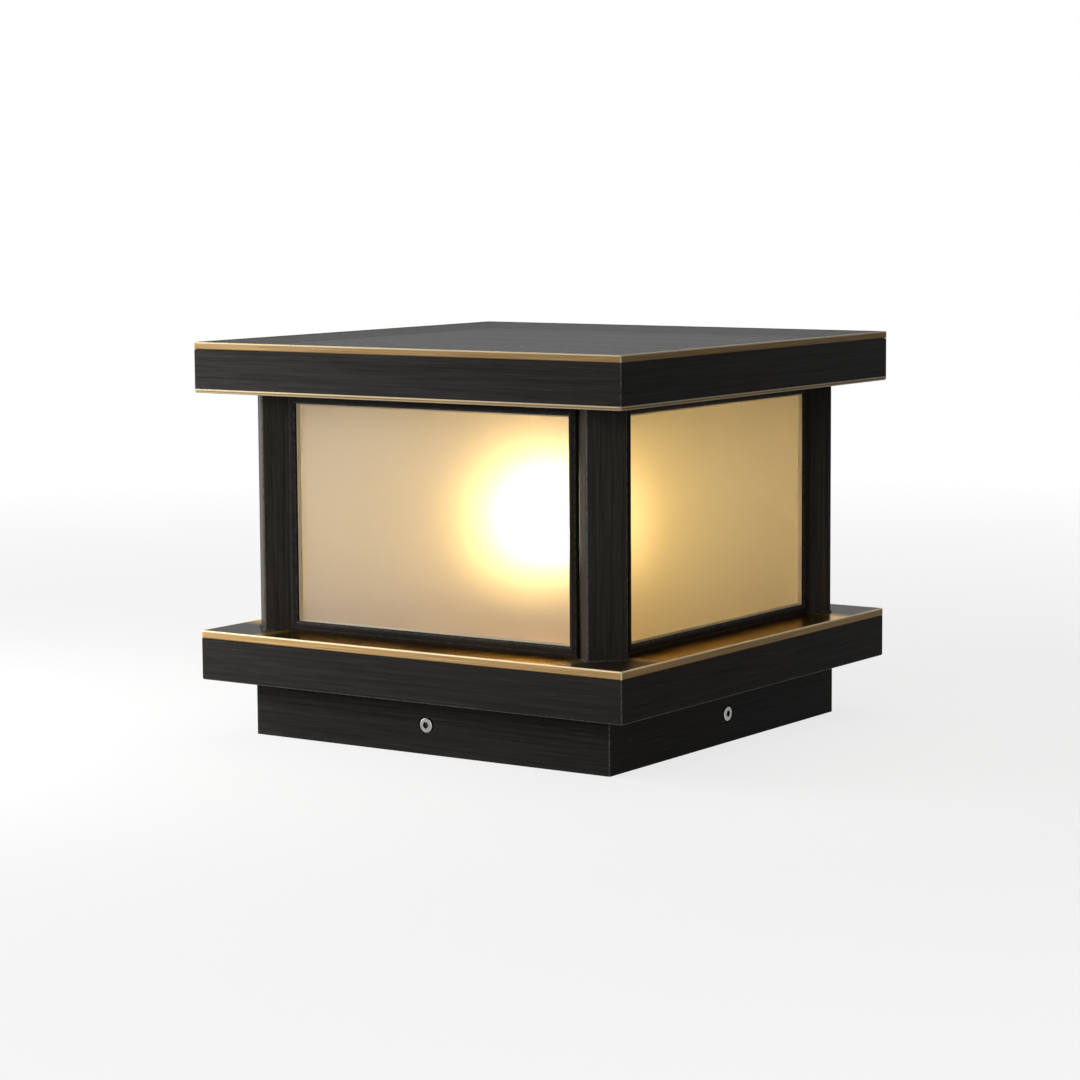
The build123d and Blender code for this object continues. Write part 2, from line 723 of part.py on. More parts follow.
def solar_lead():
    """Lead from the panel down inside the back right post to the plug."""
    start = JUNCTION_REACH / DIAGONAL
    z = panel_z0 - JUNCTION_HEIGHT / 2
    points = [(start, start, z), (post_centre, post_centre, z), (post_centre, post_centre, lead_run_z),
              (post_centre, 0, lead_run_z), (socket_x + SOCKET_WIDTH / 2, 0, lead_run_z)]
    return lead_tube(points, [LEAD_CAP_BEND, LEAD_BEND, LEAD_CAP_BEND])


def solar_plug():
    """Plug carried under the tray, with two pins down into the socket."""
    plug = prism(SOCKET_WIDTH / 2, SOCKET_LENGTH / 2, plug_z, tray_under, 0, (socket_x, 0))
    for point in pin_points():
        plug += rod(PIN / 2, socket_top - PIN_LENGTH + PIN_END_GAP, plug_z, point)
    return plug


# Push switch
def switch_body():
    """Switch let into the underside of the tray, with a bezel below it."""
    at = (socket_x, switch_y)
    body = rod(SWITCH_BEZEL / 2, tray_z - SWITCH_BEZEL_HEIGHT, tray_z, at)
    body += rod(SWITCH_BODY / 2, tray_z, switch_top, at)
    return body - rod(BUTTON / 2 + BUTTON_FIT, tray_z - SWITCH_BEZEL_HEIGHT,
                      button_z1 + BUTTON_TRAVEL + BUTTON_END_GAP, at)


def power_button():
    """Button that is pressed upwards."""
    return rod(BUTTON / 2, button_z0, button_z1, (socket_x, switch_y))


def switch_lead():
    """Lead from the switch along the underside of the tray to the plug."""
    points = [(socket_x, switch_y, switch_top), (socket_x, switch_y, lead_run_z),
              (socket_x, SOCKET_LENGTH / 2, lead_run_z)]
    return lead_tube(points, [LEAD_SHORT_BEND])


# Bulb
def globe_solid(radius):
    """Ball about the middle of the globe, cut off at the housing's rim."""
    ball = Pos(0, 0, bulb_centre) * Sphere(radius)
    return ball - prism(BULB_GLOBE, BULB_GLOBE, bulb_centre - BULB_GLOBE, bulb_rim)


def bulb_globe():
    """Frosted globe, open at the housing."""
    return globe_solid(BULB_GLOBE / 2) - globe_solid(BULB_GLOBE / 2 - BULB_WALL)


def bulb_housing():
    """Flared housing between the globe and the cap, recessed for the board."""
    housing = loft([Pos(0, 0, bulb_foot) * Circle(BULB_HOUSING_FOOT / 2),
                    Pos(0, 0, bulb_rim) * Circle(BULB_HOUSING_TOP / 2)])
    return housing - rod(BULB_BOARD / 2 + SCREW_CLEAR, bulb_rim - BULB_BOARD_SUNK, bulb_rim)


def bulb_cap():
    """Screw cap of the bulb as a plain sleeve with a closed end."""
    sleeve = rod(BULB_CAP / 2, bulb_cap_z, bulb_foot)
    return sleeve - rod(BULB_CAP / 2 - BULB_CAP_WALL, bulb_cap_z + BULB_CAP_WALL, bulb_foot)


def bulb_contact():
    """Contact at the tip of the bulb."""
    return rod(BULB_TIP / 2, bulb_cap_z - BULB_TIP_HEIGHT, bulb_cap_z)


def bulb_led_board():
    """Round board with the light-emitting chips."""
    floor = bulb_rim - BULB_BOARD_SUNK
    return rod(BULB_BOARD / 2, floor, floor + BULB_BOARD_THICK)


nodes = {
    "mounting_plate": mounting_plate(),
    "lamp_bracket": lamp_bracket(),
    "bracket_screws": bracket_screws(),
    "lamp_holder": lamp_holder(),
    "holder_shell": holder_shell(),
    "holder_contact": holder_contact(),
    "holder_screws": holder_screws(),
    "battery_cradle": battery_cradle(),
    "battery_cells": battery_cells(),
    "charge_board": charge_board(),
    "board_spacers": board_spacers(),
    "solar_socket": solar_socket(),
    "battery_lead": battery_lead(),
    "lamp_lead": lamp_lead(),
    "plinth": plinth(),
    "weld_nuts": weld_nuts(),
    "screw_washers": screw_washers(),
    "tray_shell": tray_shell(),
    "tray_trim": edge_band(tray_half, lantern_z, TRAY_BAND),
    "glazing_gaskets": glazing_gaskets(),
    "pane_clips": pane_clips(),
    "cap_soffit": cap_soffit(),
    "reflector_plate": reflector_plate(),
    "reflector_screws": reflector_screws(),
    "cap_shell": cap_shell(),
    "cap_screws": cap_screws(),
    "cap_trim_top": edge_band(cap_half, top_z, CAP_BAND),
    "cap_trim_bottom": cap_trim_bottom(),
    "solar_glass": solar_glass(),
    "solar_cells": solar_cells(),
    "solar_backsheet": solar_backsheet(),
    "solar_seal": solar_seal(),
    "junction_box": junction_box(),
    "solar_lead": solar_lead(),
    "solar_plug": solar_plug(),
    "switch_body": switch_body(),
    "switch_lead": switch_lead(),
    "power_button": power_button(),
    "bulb_globe": bulb_globe(),
    "bulb_housing": bulb_housing(),
    "bulb_cap": bulb_cap(),
    "bulb_contact": bulb_contact(),
    "bulb_led_board": bulb_led_board(),
}
for corner in CORNERS:
    nodes[f"post_{corner}"] = post(corner)
for side in SIDES:
    nodes[f"frame_{side}"] = panel_frame(side)
    nodes[f"glass_{side}"] = glass_pane(side)
    nodes[f"side_screw_{side}"] = side_screw(side)

os.makedirs("parts", exist_ok=True)
for name, shape in nodes.items():
    export_step(shape, f"parts/{name}.step")
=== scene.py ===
import json
import math

import bmesh
import bpy
from mathutils import Matrix, Vector


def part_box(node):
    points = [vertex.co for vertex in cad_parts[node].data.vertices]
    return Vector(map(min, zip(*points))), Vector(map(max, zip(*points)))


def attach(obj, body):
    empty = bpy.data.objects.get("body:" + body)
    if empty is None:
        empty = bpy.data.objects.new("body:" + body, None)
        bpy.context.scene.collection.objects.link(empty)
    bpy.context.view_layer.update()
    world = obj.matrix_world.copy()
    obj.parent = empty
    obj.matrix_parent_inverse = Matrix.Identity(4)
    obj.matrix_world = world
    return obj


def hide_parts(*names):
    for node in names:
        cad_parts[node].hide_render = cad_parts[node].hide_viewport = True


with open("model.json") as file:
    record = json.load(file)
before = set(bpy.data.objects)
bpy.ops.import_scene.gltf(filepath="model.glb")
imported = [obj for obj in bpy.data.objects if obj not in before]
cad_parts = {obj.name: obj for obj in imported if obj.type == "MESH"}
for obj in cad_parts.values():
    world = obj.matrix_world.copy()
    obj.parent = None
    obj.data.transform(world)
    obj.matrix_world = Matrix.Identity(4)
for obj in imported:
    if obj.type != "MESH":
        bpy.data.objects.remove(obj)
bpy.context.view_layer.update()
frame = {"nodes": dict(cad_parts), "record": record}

# Looks of a square solar pillar light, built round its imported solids. Metres, +Z up, front towards -Y.
nodes = frame["nodes"]
SIDES = ("front", "right", "back", "left")
CORNERS = ("front_right", "back_right", "back_left", "front_left")
MM = 0.001
QUARTER_TURN = math.radians(90)

# Camera, fitted to the photograph, with its angles in degrees
CAMERA_PLACE = (0.8727, -1.2771, 0.2726)
CAMERA_AZIMUTH = 34.3446
CAMERA_PITCH = 6.5021
CAMERA_ROLL = 0.3539
CAMERA_LENS = 102.88
CAMERA_SHIFT = (-0.00811, -0.00573)
CAMERA_NEAR = 0.01

# Studio
KEY_PLACE = (-0.43, -0.34, 0.23)
KEY_SIZE = 0.35
KEY_POWER = 3.1
FILL_PLACE = (0.25, -1.7, 0.6)
FILL_SIZE = 0.9
FILL_POWER = 8.0
TOP_PLACE = (-0.2, 0.4, 1.6)
TOP_SIZE = 1.2
TOP_POWER = 5.0
LIGHT_TARGET = (0.0, 0.0, 0.1)
AMBIENT = 0.16
WHITE = (1, 1, 1, 1)
FLOOR_RADIUS = 8.0
FLOOR_WHITE = (0.9, 0.9, 0.9, 1)
FLOOR_BOUNCE = (0.42, 0.42, 0.42, 1)
FLOOR_GLOW = 0.78
FLOOR_NEAR = 0.35
FLOOR_FAR = 1.3

# Brushed bronze: grains are scales along X, Y and Z, and shades scale red, green and blue. The shades of the
# posts, frames and mouldings are painted light and shade: lighter or darker copies of one bronze.
BRONZE_DARK = (0.0125, 0.012, 0.0116, 1)
BRONZE_MID = (0.038, 0.0365, 0.0356, 1)
BRONZE_LIGHT = (0.085, 0.081, 0.078, 1)
BRONZE_BROWN = (0.036, 0.0275, 0.022, 1)
# Darker warm brown of up-facing faces: a painted reflection of the frames and the warm glow above them
BRONZE_TOP_PAINTED_GLOW = (0.016, 0.0105, 0.006, 1)
# Lighter rounded edges: partly wear, partly a painted highlight
BRONZE_WORN_HIGHLIGHT = (0.15, 0.14, 0.128, 1)
# Golden colour of the tray top between the posts: a painted reflection of the lit panes
BRONZE_POLISH_GLOW_REFLECTION = (0.3, 0.19, 0.075, 1)
BRONZE_POLISHED_EDGE = (1.0, 0.8, 0.5, 1)
BRONZE_SPECULAR = 0.015
TOP_SHEEN = 0.15
SHEEN_ROUGHNESS = 0.35
SHEEN_IOR = 1.6
STREAK_SHARE = 0.55
LONG_STREAK_SCALE = 0.31
POLISH_GLOSS = 0.14
POLISH_STREAKS = 0.15
LEVEL_GRAIN = (42.0, 42.0, 2300.0)
UPRIGHT_GRAIN = (2000.0, 2000.0, 40.0)
EVEN_GRAIN = (1400.0, 1400.0, 1400.0)
WELD_GRAIN = (900.0, 900.0, 900.0)
AS_IT_IS = (1.0, 1.0, 1.0)
POST_PAINTED_LIGHT = (1.8, 1.7, 1.52)
FRAME_PAINTED_SHADE = (0.5, 0.5, 0.5)
MOULDING_PAINTED_SHADE = (0.6, 0.6, 0.6)
WELD_SHADE = (0.7, 0.7, 0.7)
INSIDE_WHITE = (0.82, 0.8, 0.76, 1)
JOINT_DARK = (0.004, 0.004, 0.004, 1)
MITRE_WIDTH = 0.28 * MM
MITRE_REACH = 8.0 * MM

# Brass bands, darker along the lower edge, and lighter along the upper edge and the corners: partly rubbed
# wear, partly a painted highlight
BRASS_LOWER_EDGE_DARK = (0.13, 0.08, 0.035, 1)
BRASS_DARK = (0.25, 0.152, 0.06, 1)
BRASS_MID = (0.41, 0.262, 0.11, 1)
BRASS_LIGHT = (0.58, 0.4, 0.19, 1)
BRASS_WORN_HIGHLIGHT = (0.84, 0.68, 0.43, 1)
# Each band's shade gives a lighter or darker copy of the brass: painted light and shade
BRASS_PAINTED_LIGHT = {"cap_trim_top": 0.82, "cap_trim_bottom": 0.7, "tray_trim": 1.35}
BRASS_GRAIN = (16.0, 16.0, 2600.0)
BRASS_METALLIC = 0.06
BRASS_SPECULAR = 0.03
LOWER_EDGE_DARK_FULL = 0.2 * MM
LOWER_EDGE_DARK_END = 0.5 * MM
RUB_HIGHLIGHT_FULL = 0.45 * MM
RUB_HIGHLIGHT_END = 0.75 * MM

# Other metals
ZINC_DARK = (0.38, 0.39, 0.4, 1)
ZINC_LIGHT = (0.56, 0.57, 0.58, 1)
SPANGLE_SHARE = 0.6
SPANGLE_RANGE = (0.15, 0.85)
# Painted shade in the sockets and round the rims of the side screws
SOCKET_PAINTED_SHADE = (0.03, 0.03, 0.03, 1)
SOCKET_EDGE = 0.25 * MM
# Lighter rounded edges of plain metal: a painted highlight
EDGE_HIGHLIGHT_LIFT = 1.25

# Plastics: how much wider their clouds are than their grain
CLOUD_RATIO = 25

# Lamp
LAMP_COLOUR = (1.0, 0.83, 0.6, 1)
LAMP_PALE = (1.0, 0.86, 0.65, 1)
LAMP_STRENGTH = 19.0
OPAL = (0.9, 0.88, 0.82, 1)
OPAL_ROUGHNESS = 0.35

# Frosted glass: the tint of each way that light takes, and how these ways are shared out
BLUR_TINT = (0.86, 0.76, 0.54, 1)
BLUR_ROUGHNESS = 0.46
BLUR_UNEVENNESS = 0.04
GLOW_TINT = (0.95, 0.68, 0.2, 1)
GLOW_ROUGHNESS = 0.64
GLOW_CLOUD_SHADE = (0.98, 0.98, 0.98)
GLOW_IOR = 1.72
SCATTER_TINT = (0.62, 0.49, 0.22, 1)
SKIN_TINT = (0.3, 0.47, 0.84, 1)
HAZE_SHARE = 0.84
CLOUD_SHARE = 0.75
SKIN_SHARE = 0.3
GLASS_IOR = 1.45
CLEAR_ROUGHNESS = 0.03
SEALANT_DARK = (0.86, 0.78, 0.6, 1)
SEALANT_LIGHT = (0.92, 0.85, 0.68, 1)
SEALANT_THROUGH = 0.5

# Solar panel
COVER_DARK = (0.02, 0.019, 0.017, 1)
COVER_LIGHT = (0.04, 0.037, 0.033, 1)
COVER_SHEEN = (1.0, 0.94, 0.87, 1)
COVER_ALPHA = 0.34
CELL_DARK = (0.006, 0.0065, 0.009, 1)
CELL_LIGHT = (0.011, 0.012, 0.016, 1)
PANEL_SPECULAR = 0.05
FINGER_GREY = (0.06, 0.063, 0.07, 1)
FINGER_SHARE = 0.35
FINGER_PITCH = 1.5 * MM
FINGER_WIDTH = 0.22 * MM
BUSBAR_GREY = (0.55, 0.56, 0.58, 1)
BUSBAR_METALLIC = 0.4
BUSBAR_PITCH = 11.65 * MM
BUSBAR_WIDTH = 0.6 * MM
BUSBAR_START = -1.0 * MM
SHEET_DARK = (0.72, 0.72, 0.71, 1)
SHEET_LIGHT = (0.8, 0.8, 0.79, 1)
SHEET_BORDER = (0.009, 0.009, 0.011, 1)

# Electrical pieces
BOARD_GREEN = (0.010, 0.075, 0.032, 1)
TRACE_GREEN = (0.025, 0.15, 0.06, 1)
TRACE_EDGE = (0.03, 0.05)
PAD_TIN = (0.62, 0.62, 0.6, 1)
PAD_PITCH_X = 5.0 * MM
PAD_PITCH_Y = 3.2 * MM
PAD_LENGTH = 1.3 * MM
PAD_WIDTH = 1.0 * MM
WRAP_DARK = (0.010, 0.045, 0.17, 1)
WRAP_LIGHT = (0.016, 0.065, 0.23, 1)
WRAP_GRAIN = (60.0, 500.0, 60.0)
CELL_END = (0.5, 0.5, 0.49, 1)
CELL_END_DEPTH = 0.15 * MM

# Ranges of a noise, of the normal's Z on faces that look up, and of its largest part from flats to edges
NOISE_RANGE = (0.3, 0.7)
UPWARD_RANGE = (0.7, 0.95)
EDGE_RANGE = (0.97, 0.82)

# Sockets of a Mix node for colours
MIX_SHARE = 0
MIX_FIRST = 6
MIX_SECOND = 7
MIX_RESULT = 2


class Nodes:
    """Shader nodes of one tree, with short ways to add and join them."""

    def __init__(self, tree):
        self.tree = tree
        self.tree.nodes.clear()

    def node(self, kind, inputs=None, **settings):
        """Adds a node with its settings, and feeds its inputs."""
        made = self.tree.nodes.new("ShaderNode" + kind)
        for key, value in settings.items():
            setattr(made, key, value)
        for key, value in (inputs or {}).items():
            self.feed(made.inputs[key], value)
        return made

    def feed(self, socket, value):
        """Links a socket to another node's output, or sets its value."""
        if isinstance(value, bpy.types.NodeSocket):
            self.tree.links.new(value, socket)
        else:
            socket.default_value = value

    def math(self, operation, first, second=0.0):
        return self.node("Math", {0: first, 1: second}, operation=operation).outputs[0]

    def blend(self, share, first, second):
        """Shader between two others: the first at a share of 0, the second at 1."""
        return self.node("MixShader", {0: share, 1: first, 2: second}).outputs[0]


class Surface(Nodes):
    """Nodes of one material, with its places, masks and textures."""

    def __init__(self, name):
        self.material = bpy.data.materials.new(name)
        self.material.use_nodes = True
        super().__init__(self.material.node_tree)

    def turned(self, vector, turn):
        """Vector turned about Z."""
        if not turn:
            return vector
        inputs = {"Vector": vector, "Angle": turn}
        return self.node("VectorRotate", inputs, rotation_type="Z_AXIS").outputs[0]

    def place(self, scale=(1.0, 1.0, 1.0), turn=0.0):
        """Coordinates that stay on the piece, turned about Z and then stretched."""
        spot = self.turned(self.node("TexCoord").outputs["Object"], turn)
        return self.node("Mapping", {"Vector": spot, "Scale": scale}).outputs[0]

    def axes(self, vector):
        return self.node("SeparateXYZ", {0: vector}).outputs

    def absolute(self, vector):
        return self.node("VectorMath", {0: vector}, operation="ABSOLUTE").outputs[0]

    def offsets(self):
        """Distances from the middle of the part along X, Y and Z."""
        return self.axes(self.absolute(self.place()))

    def outward(self):
        """Distance from the middle of the part towards the nearest side."""
        x, y, _ = self.offsets()
        return self.math("MAXIMUM", x, y)

    def sideways(self):
        """Distance along the nearest side from its middle."""
        x, y, _ = self.offsets()
        return self.math("MINIMUM", x, y)

    def noise(self, vector, scale=1.0, detail=2.0, roughness=0.5):
        inputs = {"Vector": vector, "Scale": scale, "Detail": detail, "Roughness": roughness}
        return self.node("TexNoise", inputs).outputs["Fac"]

    def crystals(self, output, scale, feature="F1"):
        inputs = {"Vector": self.place(), "Scale": scale}
        return self.node("TexVoronoi", inputs, feature=feature).outputs[output]

    def span(self, value, low, high, out_low=0.0, out_high=1.0):
        """Maps a value from one range to another, held at its ends."""
        inputs = {0: value, 1: low, 2: high, 3: out_low, 4: out_high}
        return self.node("MapRange", inputs).outputs[0]

    def spread(self, noise, out_low=0.0, out_high=1.0):
        """Maps the usual range of a noise to another range."""
        return self.span(noise, *NOISE_RANGE, out_low, out_high)

    def weigh(self, share, first, second):
        """Sum of a share of the first value and the rest of the second."""
        part = self.math("MULTIPLY", first, share)
        rest = self.math("MULTIPLY", second, 1 - share)
        return self.math("ADD", part, rest)

    def mix(self, share, first, second):
        """Colour between two others: the first at a share of 0, the second at 1."""
        inputs = {MIX_SHARE: share, MIX_FIRST: first, MIX_SECOND: second}
        return self.node("Mix", inputs, data_type="RGBA").outputs[MIX_RESULT]

    def bump(self, height, depth, strength=1.0):
        inputs = {"Height": height, "Distance": depth, "Strength": strength}
        return self.node("Bump", inputs).outputs["Normal"]

    def edges(self, turn=0.0):
        """1 along the rounded edges of a box, 0 on its flats."""
        normal = self.turned(self.node("TexCoord").outputs["Normal"], turn)
        x, y, z = self.axes(self.absolute(normal))
        square = self.math("MAXIMUM", self.math("MAXIMUM", x, y), z)
        return self.span(square, *EDGE_RANGE)

    def upward(self):
        """1 on faces that look up."""
        _, _, z = self.axes(self.node("TexCoord").outputs["Normal"])
        return self.span(z, *UPWARD_RANGE)

    def stripe(self, value, pitch, width, offset=0.0):
        """1 on lines of a width, a pitch apart."""
        part = self.math("FRACT", self.math("DIVIDE", self.math("ADD", value, offset), pitch))
        away = self.math("ABSOLUTE", self.math("SUBTRACT", part, 0.5))
        return self.math("LESS_THAN", away, width / pitch / 2)

    def principled(self, **values):
        inputs = {key.replace("_", " "): value for key, value in values.items()}
        return self.node("BsdfPrincipled", inputs).outputs[0]

    def show(self, shader):
        """Material that shows a shader."""
        self.feed(self.node("OutputMaterial").inputs["Surface"], shader)
        return self.material


# Masks: 1 on one region of a piece, 0 elsewhere
def mitre_lines(s):
    """Hairline joints across the lower corners of a glazed frame."""
    low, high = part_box("frame_front")
    _, _, height = s.offsets()
    across = s.math("SUBTRACT", high.x, s.sideways())
    up = s.math("SUBTRACT", height, low.z)
    away = s.math("ABSOLUTE", s.math("SUBTRACT", across, up))
    on_line = s.math("LESS_THAN", away, MITRE_WIDTH / 2)
    return s.math("MULTIPLY", on_line, s.math("LESS_THAN", across, MITRE_REACH))


def between_posts(s):
    """1 along the middle of each side, and 0 past the posts."""
    low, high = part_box("post_front_right")
    return s.span(s.sideways(), (low.x + high.x) / 2, low.x)


def behind_glass(s):
    """1 on the part of a frame or post that lies behind the panes."""
    _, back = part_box("glass_front")
    return s.math("LESS_THAN", s.outward(), -back.y)


def outer_face(s):
    """1 on the outer half of a pane's thickness."""
    outside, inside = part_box("glass_front")
    return s.math("GREATER_THAN", s.outward(), -(outside.y + inside.y) / 2)


def below_face(s):
    """1 below the outer face of a side screw's head: in its socket and round its rim."""
    low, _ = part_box("side_screw_front")
    return s.math("LESS_THAN", s.outward(), -low.y - SOCKET_EDGE)


# Metals
def shaded(tint, shade):
    """Colour with its red, green and blue each scaled."""
    return [*(c * part for c, part in zip(tint, shade)), 1]


def bronze(name, grain, turn=0.0, mitred=False, lined=False, polished_glow_top=False, wear_and_highlight=1.0, shade=AS_IT_IS):
    """Brushed black bronze with streaks along the grain, and rubbed edges that are partly worn and partly a
    painted highlight.

    It can have mitre joints, a white lining behind the glass, or a polished top between the posts, whose
    golden colour is a painted reflection of the lit panes.
    """
    s = Surface(name)
    streaks = s.noise(s.place(grain, turn), detail=3.0, roughness=0.6)
    long_streaks = s.noise(s.place([g * LONG_STREAK_SCALE for g in grain], turn))
    tone = s.weigh(STREAK_SHARE, streaks, long_streaks)
    # The shade gives a lighter or darker copy of the bronze: painted light or painted shade for some pieces.
    colour = s.mix(s.spread(tone), shaded(BRONZE_DARK, shade), shaded(BRONZE_MID, shade))
    brown = s.span(s.noise(s.place(), scale=7.0), low=0.5, high=0.8, out_high=0.6)
    colour = s.mix(brown, colour, BRONZE_BROWN)
    cloud = s.span(s.noise(s.place(), scale=14.0), low=0.46, high=0.68)
    scratch = s.math("MULTIPLY", s.span(streaks, low=0.64, high=0.74), cloud)
    colour = s.mix(scratch, colour, BRONZE_LIGHT)
    upward = s.upward()
    # Up-facing faces take a darker warm brown: a painted reflection of the frames and the warm glow above
    # them.
    colour = s.mix(upward, colour, BRONZE_TOP_PAINTED_GLOW)
    edge_breakup = s.noise(s.place(), scale=420.0, detail=3.0, roughness=0.7)
    # Lighter rounded edges, broken up by noise: partly wear, partly a painted highlight along the corners.
    rub_and_highlight = s.math("MULTIPLY", s.edges(turn), s.span(edge_breakup, 0.36, 0.58, out_low=0.25 * wear_and_highlight, out_high=wear_and_highlight))
    colour = s.mix(rub_and_highlight, colour, BRONZE_WORN_HIGHLIGHT)
    if mitred:
        colour = s.mix(mitre_lines(s), colour, JOINT_DARK)
    if lined:
        colour = s.mix(behind_glass(s), colour, INSIDE_WHITE)
    roughness = s.spread(tone, out_low=0.44, out_high=0.32)
    polish_and_glow = 0.0
    if polished_glow_top:
        # Golden colour between the posts is a painted reflection of the lit panes, on a top that is also
        # metallic and smoother.
        polish_and_glow = s.math("MULTIPLY", upward, between_posts(s))
        colour = s.mix(polish_and_glow, colour, BRONZE_POLISH_GLOW_REFLECTION)
        roughness = s.math("SUBTRACT", roughness, s.math("MULTIPLY", polish_and_glow, POLISH_GLOSS))
        upward = s.math("SUBTRACT", upward, polish_and_glow)
        tone = s.math("MULTIPLY", tone, s.span(polish_and_glow, 0.0, 1.0, 1.0, POLISH_STREAKS))
    return s.show(s.principled(
        Base_Color=colour, Metallic=polish_and_glow, Roughness=roughness, Specular_IOR_Level=BRONZE_SPECULAR,
        Specular_Tint=BRONZE_POLISHED_EDGE, Coat_Weight=s.math("MULTIPLY", upward, TOP_SHEEN),
        Coat_Roughness=SHEEN_ROUGHNESS, Coat_IOR=SHEEN_IOR,
        Normal=s.bump(tone, depth=0.04 * MM, strength=0.6)))


def brass(node, shade=1.0):
    """Brushed antique brass band, lighter along its upper edge and corners, partly rubbed and partly a
    painted highlight, and darker along its lower one.
    """
    s = Surface("brass_" + node)
    low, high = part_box(node)
    tints = (BRASS_DARK, BRASS_MID, BRASS_LIGHT, BRASS_WORN_HIGHLIGHT)
    # The shade is painted light or shade: a lighter or darker copy of the brass for this band.
    dark, mid, light, wear_and_highlight = (shaded(tint, 3 * [shade]) for tint in tints)
    streaks = s.noise(s.place(BRASS_GRAIN), detail=3.0, roughness=0.6)
    colour = s.mix(s.span(streaks, low=0.32, high=0.58), dark, mid)
    cloud = s.span(s.noise(s.place(), scale=22.0), low=0.35, high=0.65)
    colour = s.mix(s.math("MULTIPLY", s.span(streaks, low=0.5, high=0.72), cloud), colour, light)
    _, _, height = s.axes(s.place())
    # Darker along the lower edge.
    colour = s.mix(s.span(height, low.z + LOWER_EDGE_DARK_END, low.z + LOWER_EDGE_DARK_FULL), colour, BRASS_LOWER_EDGE_DARK)
    # Lighter along the upper edge and on the corners: partly rubbed wear, partly a painted highlight.
    colour = s.mix(s.span(height, high.z - RUB_HIGHLIGHT_END, high.z - RUB_HIGHLIGHT_FULL), colour, wear_and_highlight)
    colour = s.mix(s.edges(), colour, wear_and_highlight)
    return s.show(s.principled(
        Base_Color=colour, Metallic=BRASS_METALLIC, Roughness=s.spread(streaks, out_low=0.42, out_high=0.28),
        Specular_IOR_Level=BRASS_SPECULAR, Normal=s.bump(streaks, depth=0.03 * MM, strength=0.5)))


def plain_metal(name, dark, light, roughness, speckle, shade_sockets=False):
    """Plated or turned metal with a fine uneven finish, a painted highlight on its rounded edges, and
    painted shade in the sockets and round the rims of screws that have them.
    """
    s = Surface(name)
    fine = s.noise(s.place(), speckle, detail=4.0, roughness=0.6)
    colour = s.mix(s.spread(fine), dark, light)
    # Lighter on the rounded edges: a painted highlight.
    colour = s.mix(s.edges(), colour, [min(1.0, c * EDGE_HIGHLIGHT_LIFT) for c in light])
    if shade_sockets:
        # Painted shade in the hex socket and round the rim of the head.
        colour = s.mix(below_face(s), colour, SOCKET_PAINTED_SHADE)
    return s.show(s.principled(
        Base_Color=colour, Metallic=1.0, Roughness=s.spread(fine, *roughness),
        Normal=s.bump(fine, depth=0.03 * MM, strength=0.4)))


def spangled_zinc():
    """Zinc-coated sheet with its crystal spangle."""
    s = Surface("zinc_steel")
    spangle, _, _ = s.axes(s.crystals("Color", scale=240.0))
    fine = s.noise(s.place(), scale=900.0, detail=3.0, roughness=0.6)
    tone = s.weigh(SPANGLE_SHARE, spangle, fine)
    return s.show(s.principled(
        Base_Color=s.mix(s.span(tone, *SPANGLE_RANGE), ZINC_DARK, ZINC_LIGHT), Metallic=1.0,
        Roughness=s.span(tone, *SPANGLE_RANGE, out_low=0.5, out_high=0.36),
        Normal=s.bump(fine, depth=0.02 * MM, strength=0.3)))


# Plastics and rubber
def moulded(name, dark, light, roughness, grain):
    """Moulded plastic or rubber with a fine grain."""
    s = Surface(name)
    fine = s.noise(s.place(), grain, detail=3.0)
    broad = s.noise(s.place(), grain / CLOUD_RATIO)
    return s.show(s.principled(
        Base_Color=s.mix(s.spread(broad), dark, light), Roughness=s.spread(fine, *roughness),
        Normal=s.bump(fine, depth=0.04 * MM, strength=0.5)))


# Glass and light
def frosted_glass():
    """Pane, clear inside and sand-blasted outside: part blurs what is behind it, part scatters its light."""
    s = Surface("frosted_glass")
    smoothest = BLUR_ROUGHNESS - BLUR_UNEVENNESS
    roughest = BLUR_ROUGHNESS + BLUR_UNEVENNESS
    grain = s.spread(s.noise(s.place(), scale=5200.0), smoothest, roughest)
    blur = s.principled(Base_Color=BLUR_TINT, Roughness=grain, Transmission_Weight=1.0, IOR=GLASS_IOR)
    clouds = s.spread(s.noise(s.place(), scale=9.0))
    tint = s.mix(clouds, shaded(GLOW_TINT, GLOW_CLOUD_SHADE), GLOW_TINT)
    bent = {"Color": tint, "Roughness": GLOW_ROUGHNESS, "IOR": GLOW_IOR}
    glow = s.node("BsdfRefraction", bent).outputs[0]
    scatter = s.node("BsdfTranslucent", {"Color": SCATTER_TINT}).outputs[0]
    skin_coat = s.node("BsdfDiffuse", {"Color": SKIN_TINT}).outputs[0]
    cloud = s.blend(SKIN_SHARE, scatter, skin_coat)
    haze = s.blend(CLOUD_SHARE, glow, cloud)
    frosted = s.blend(HAZE_SHARE, blur, haze)
    clear = s.principled(
        Base_Color=WHITE, Roughness=CLEAR_ROUGHNESS, Transmission_Weight=1.0, IOR=GLASS_IOR)
    return s.show(s.blend(outer_face(s), clear, frosted))


def glazing_sealant():
    """Pale bead that lets through some of the lamp's light."""
    s = Surface("glazing_sealant")
    fine = s.noise(s.place(), scale=900.0)
    colour = s.mix(s.spread(fine), SEALANT_DARK, SEALANT_LIGHT)
    body = s.principled(Base_Color=colour, Roughness=s.spread(fine, out_low=0.35, out_high=0.5))
    through = s.node("BsdfTranslucent", {"Color": colour}).outputs[0]
    return s.show(s.blend(SEALANT_THROUGH, body, through))


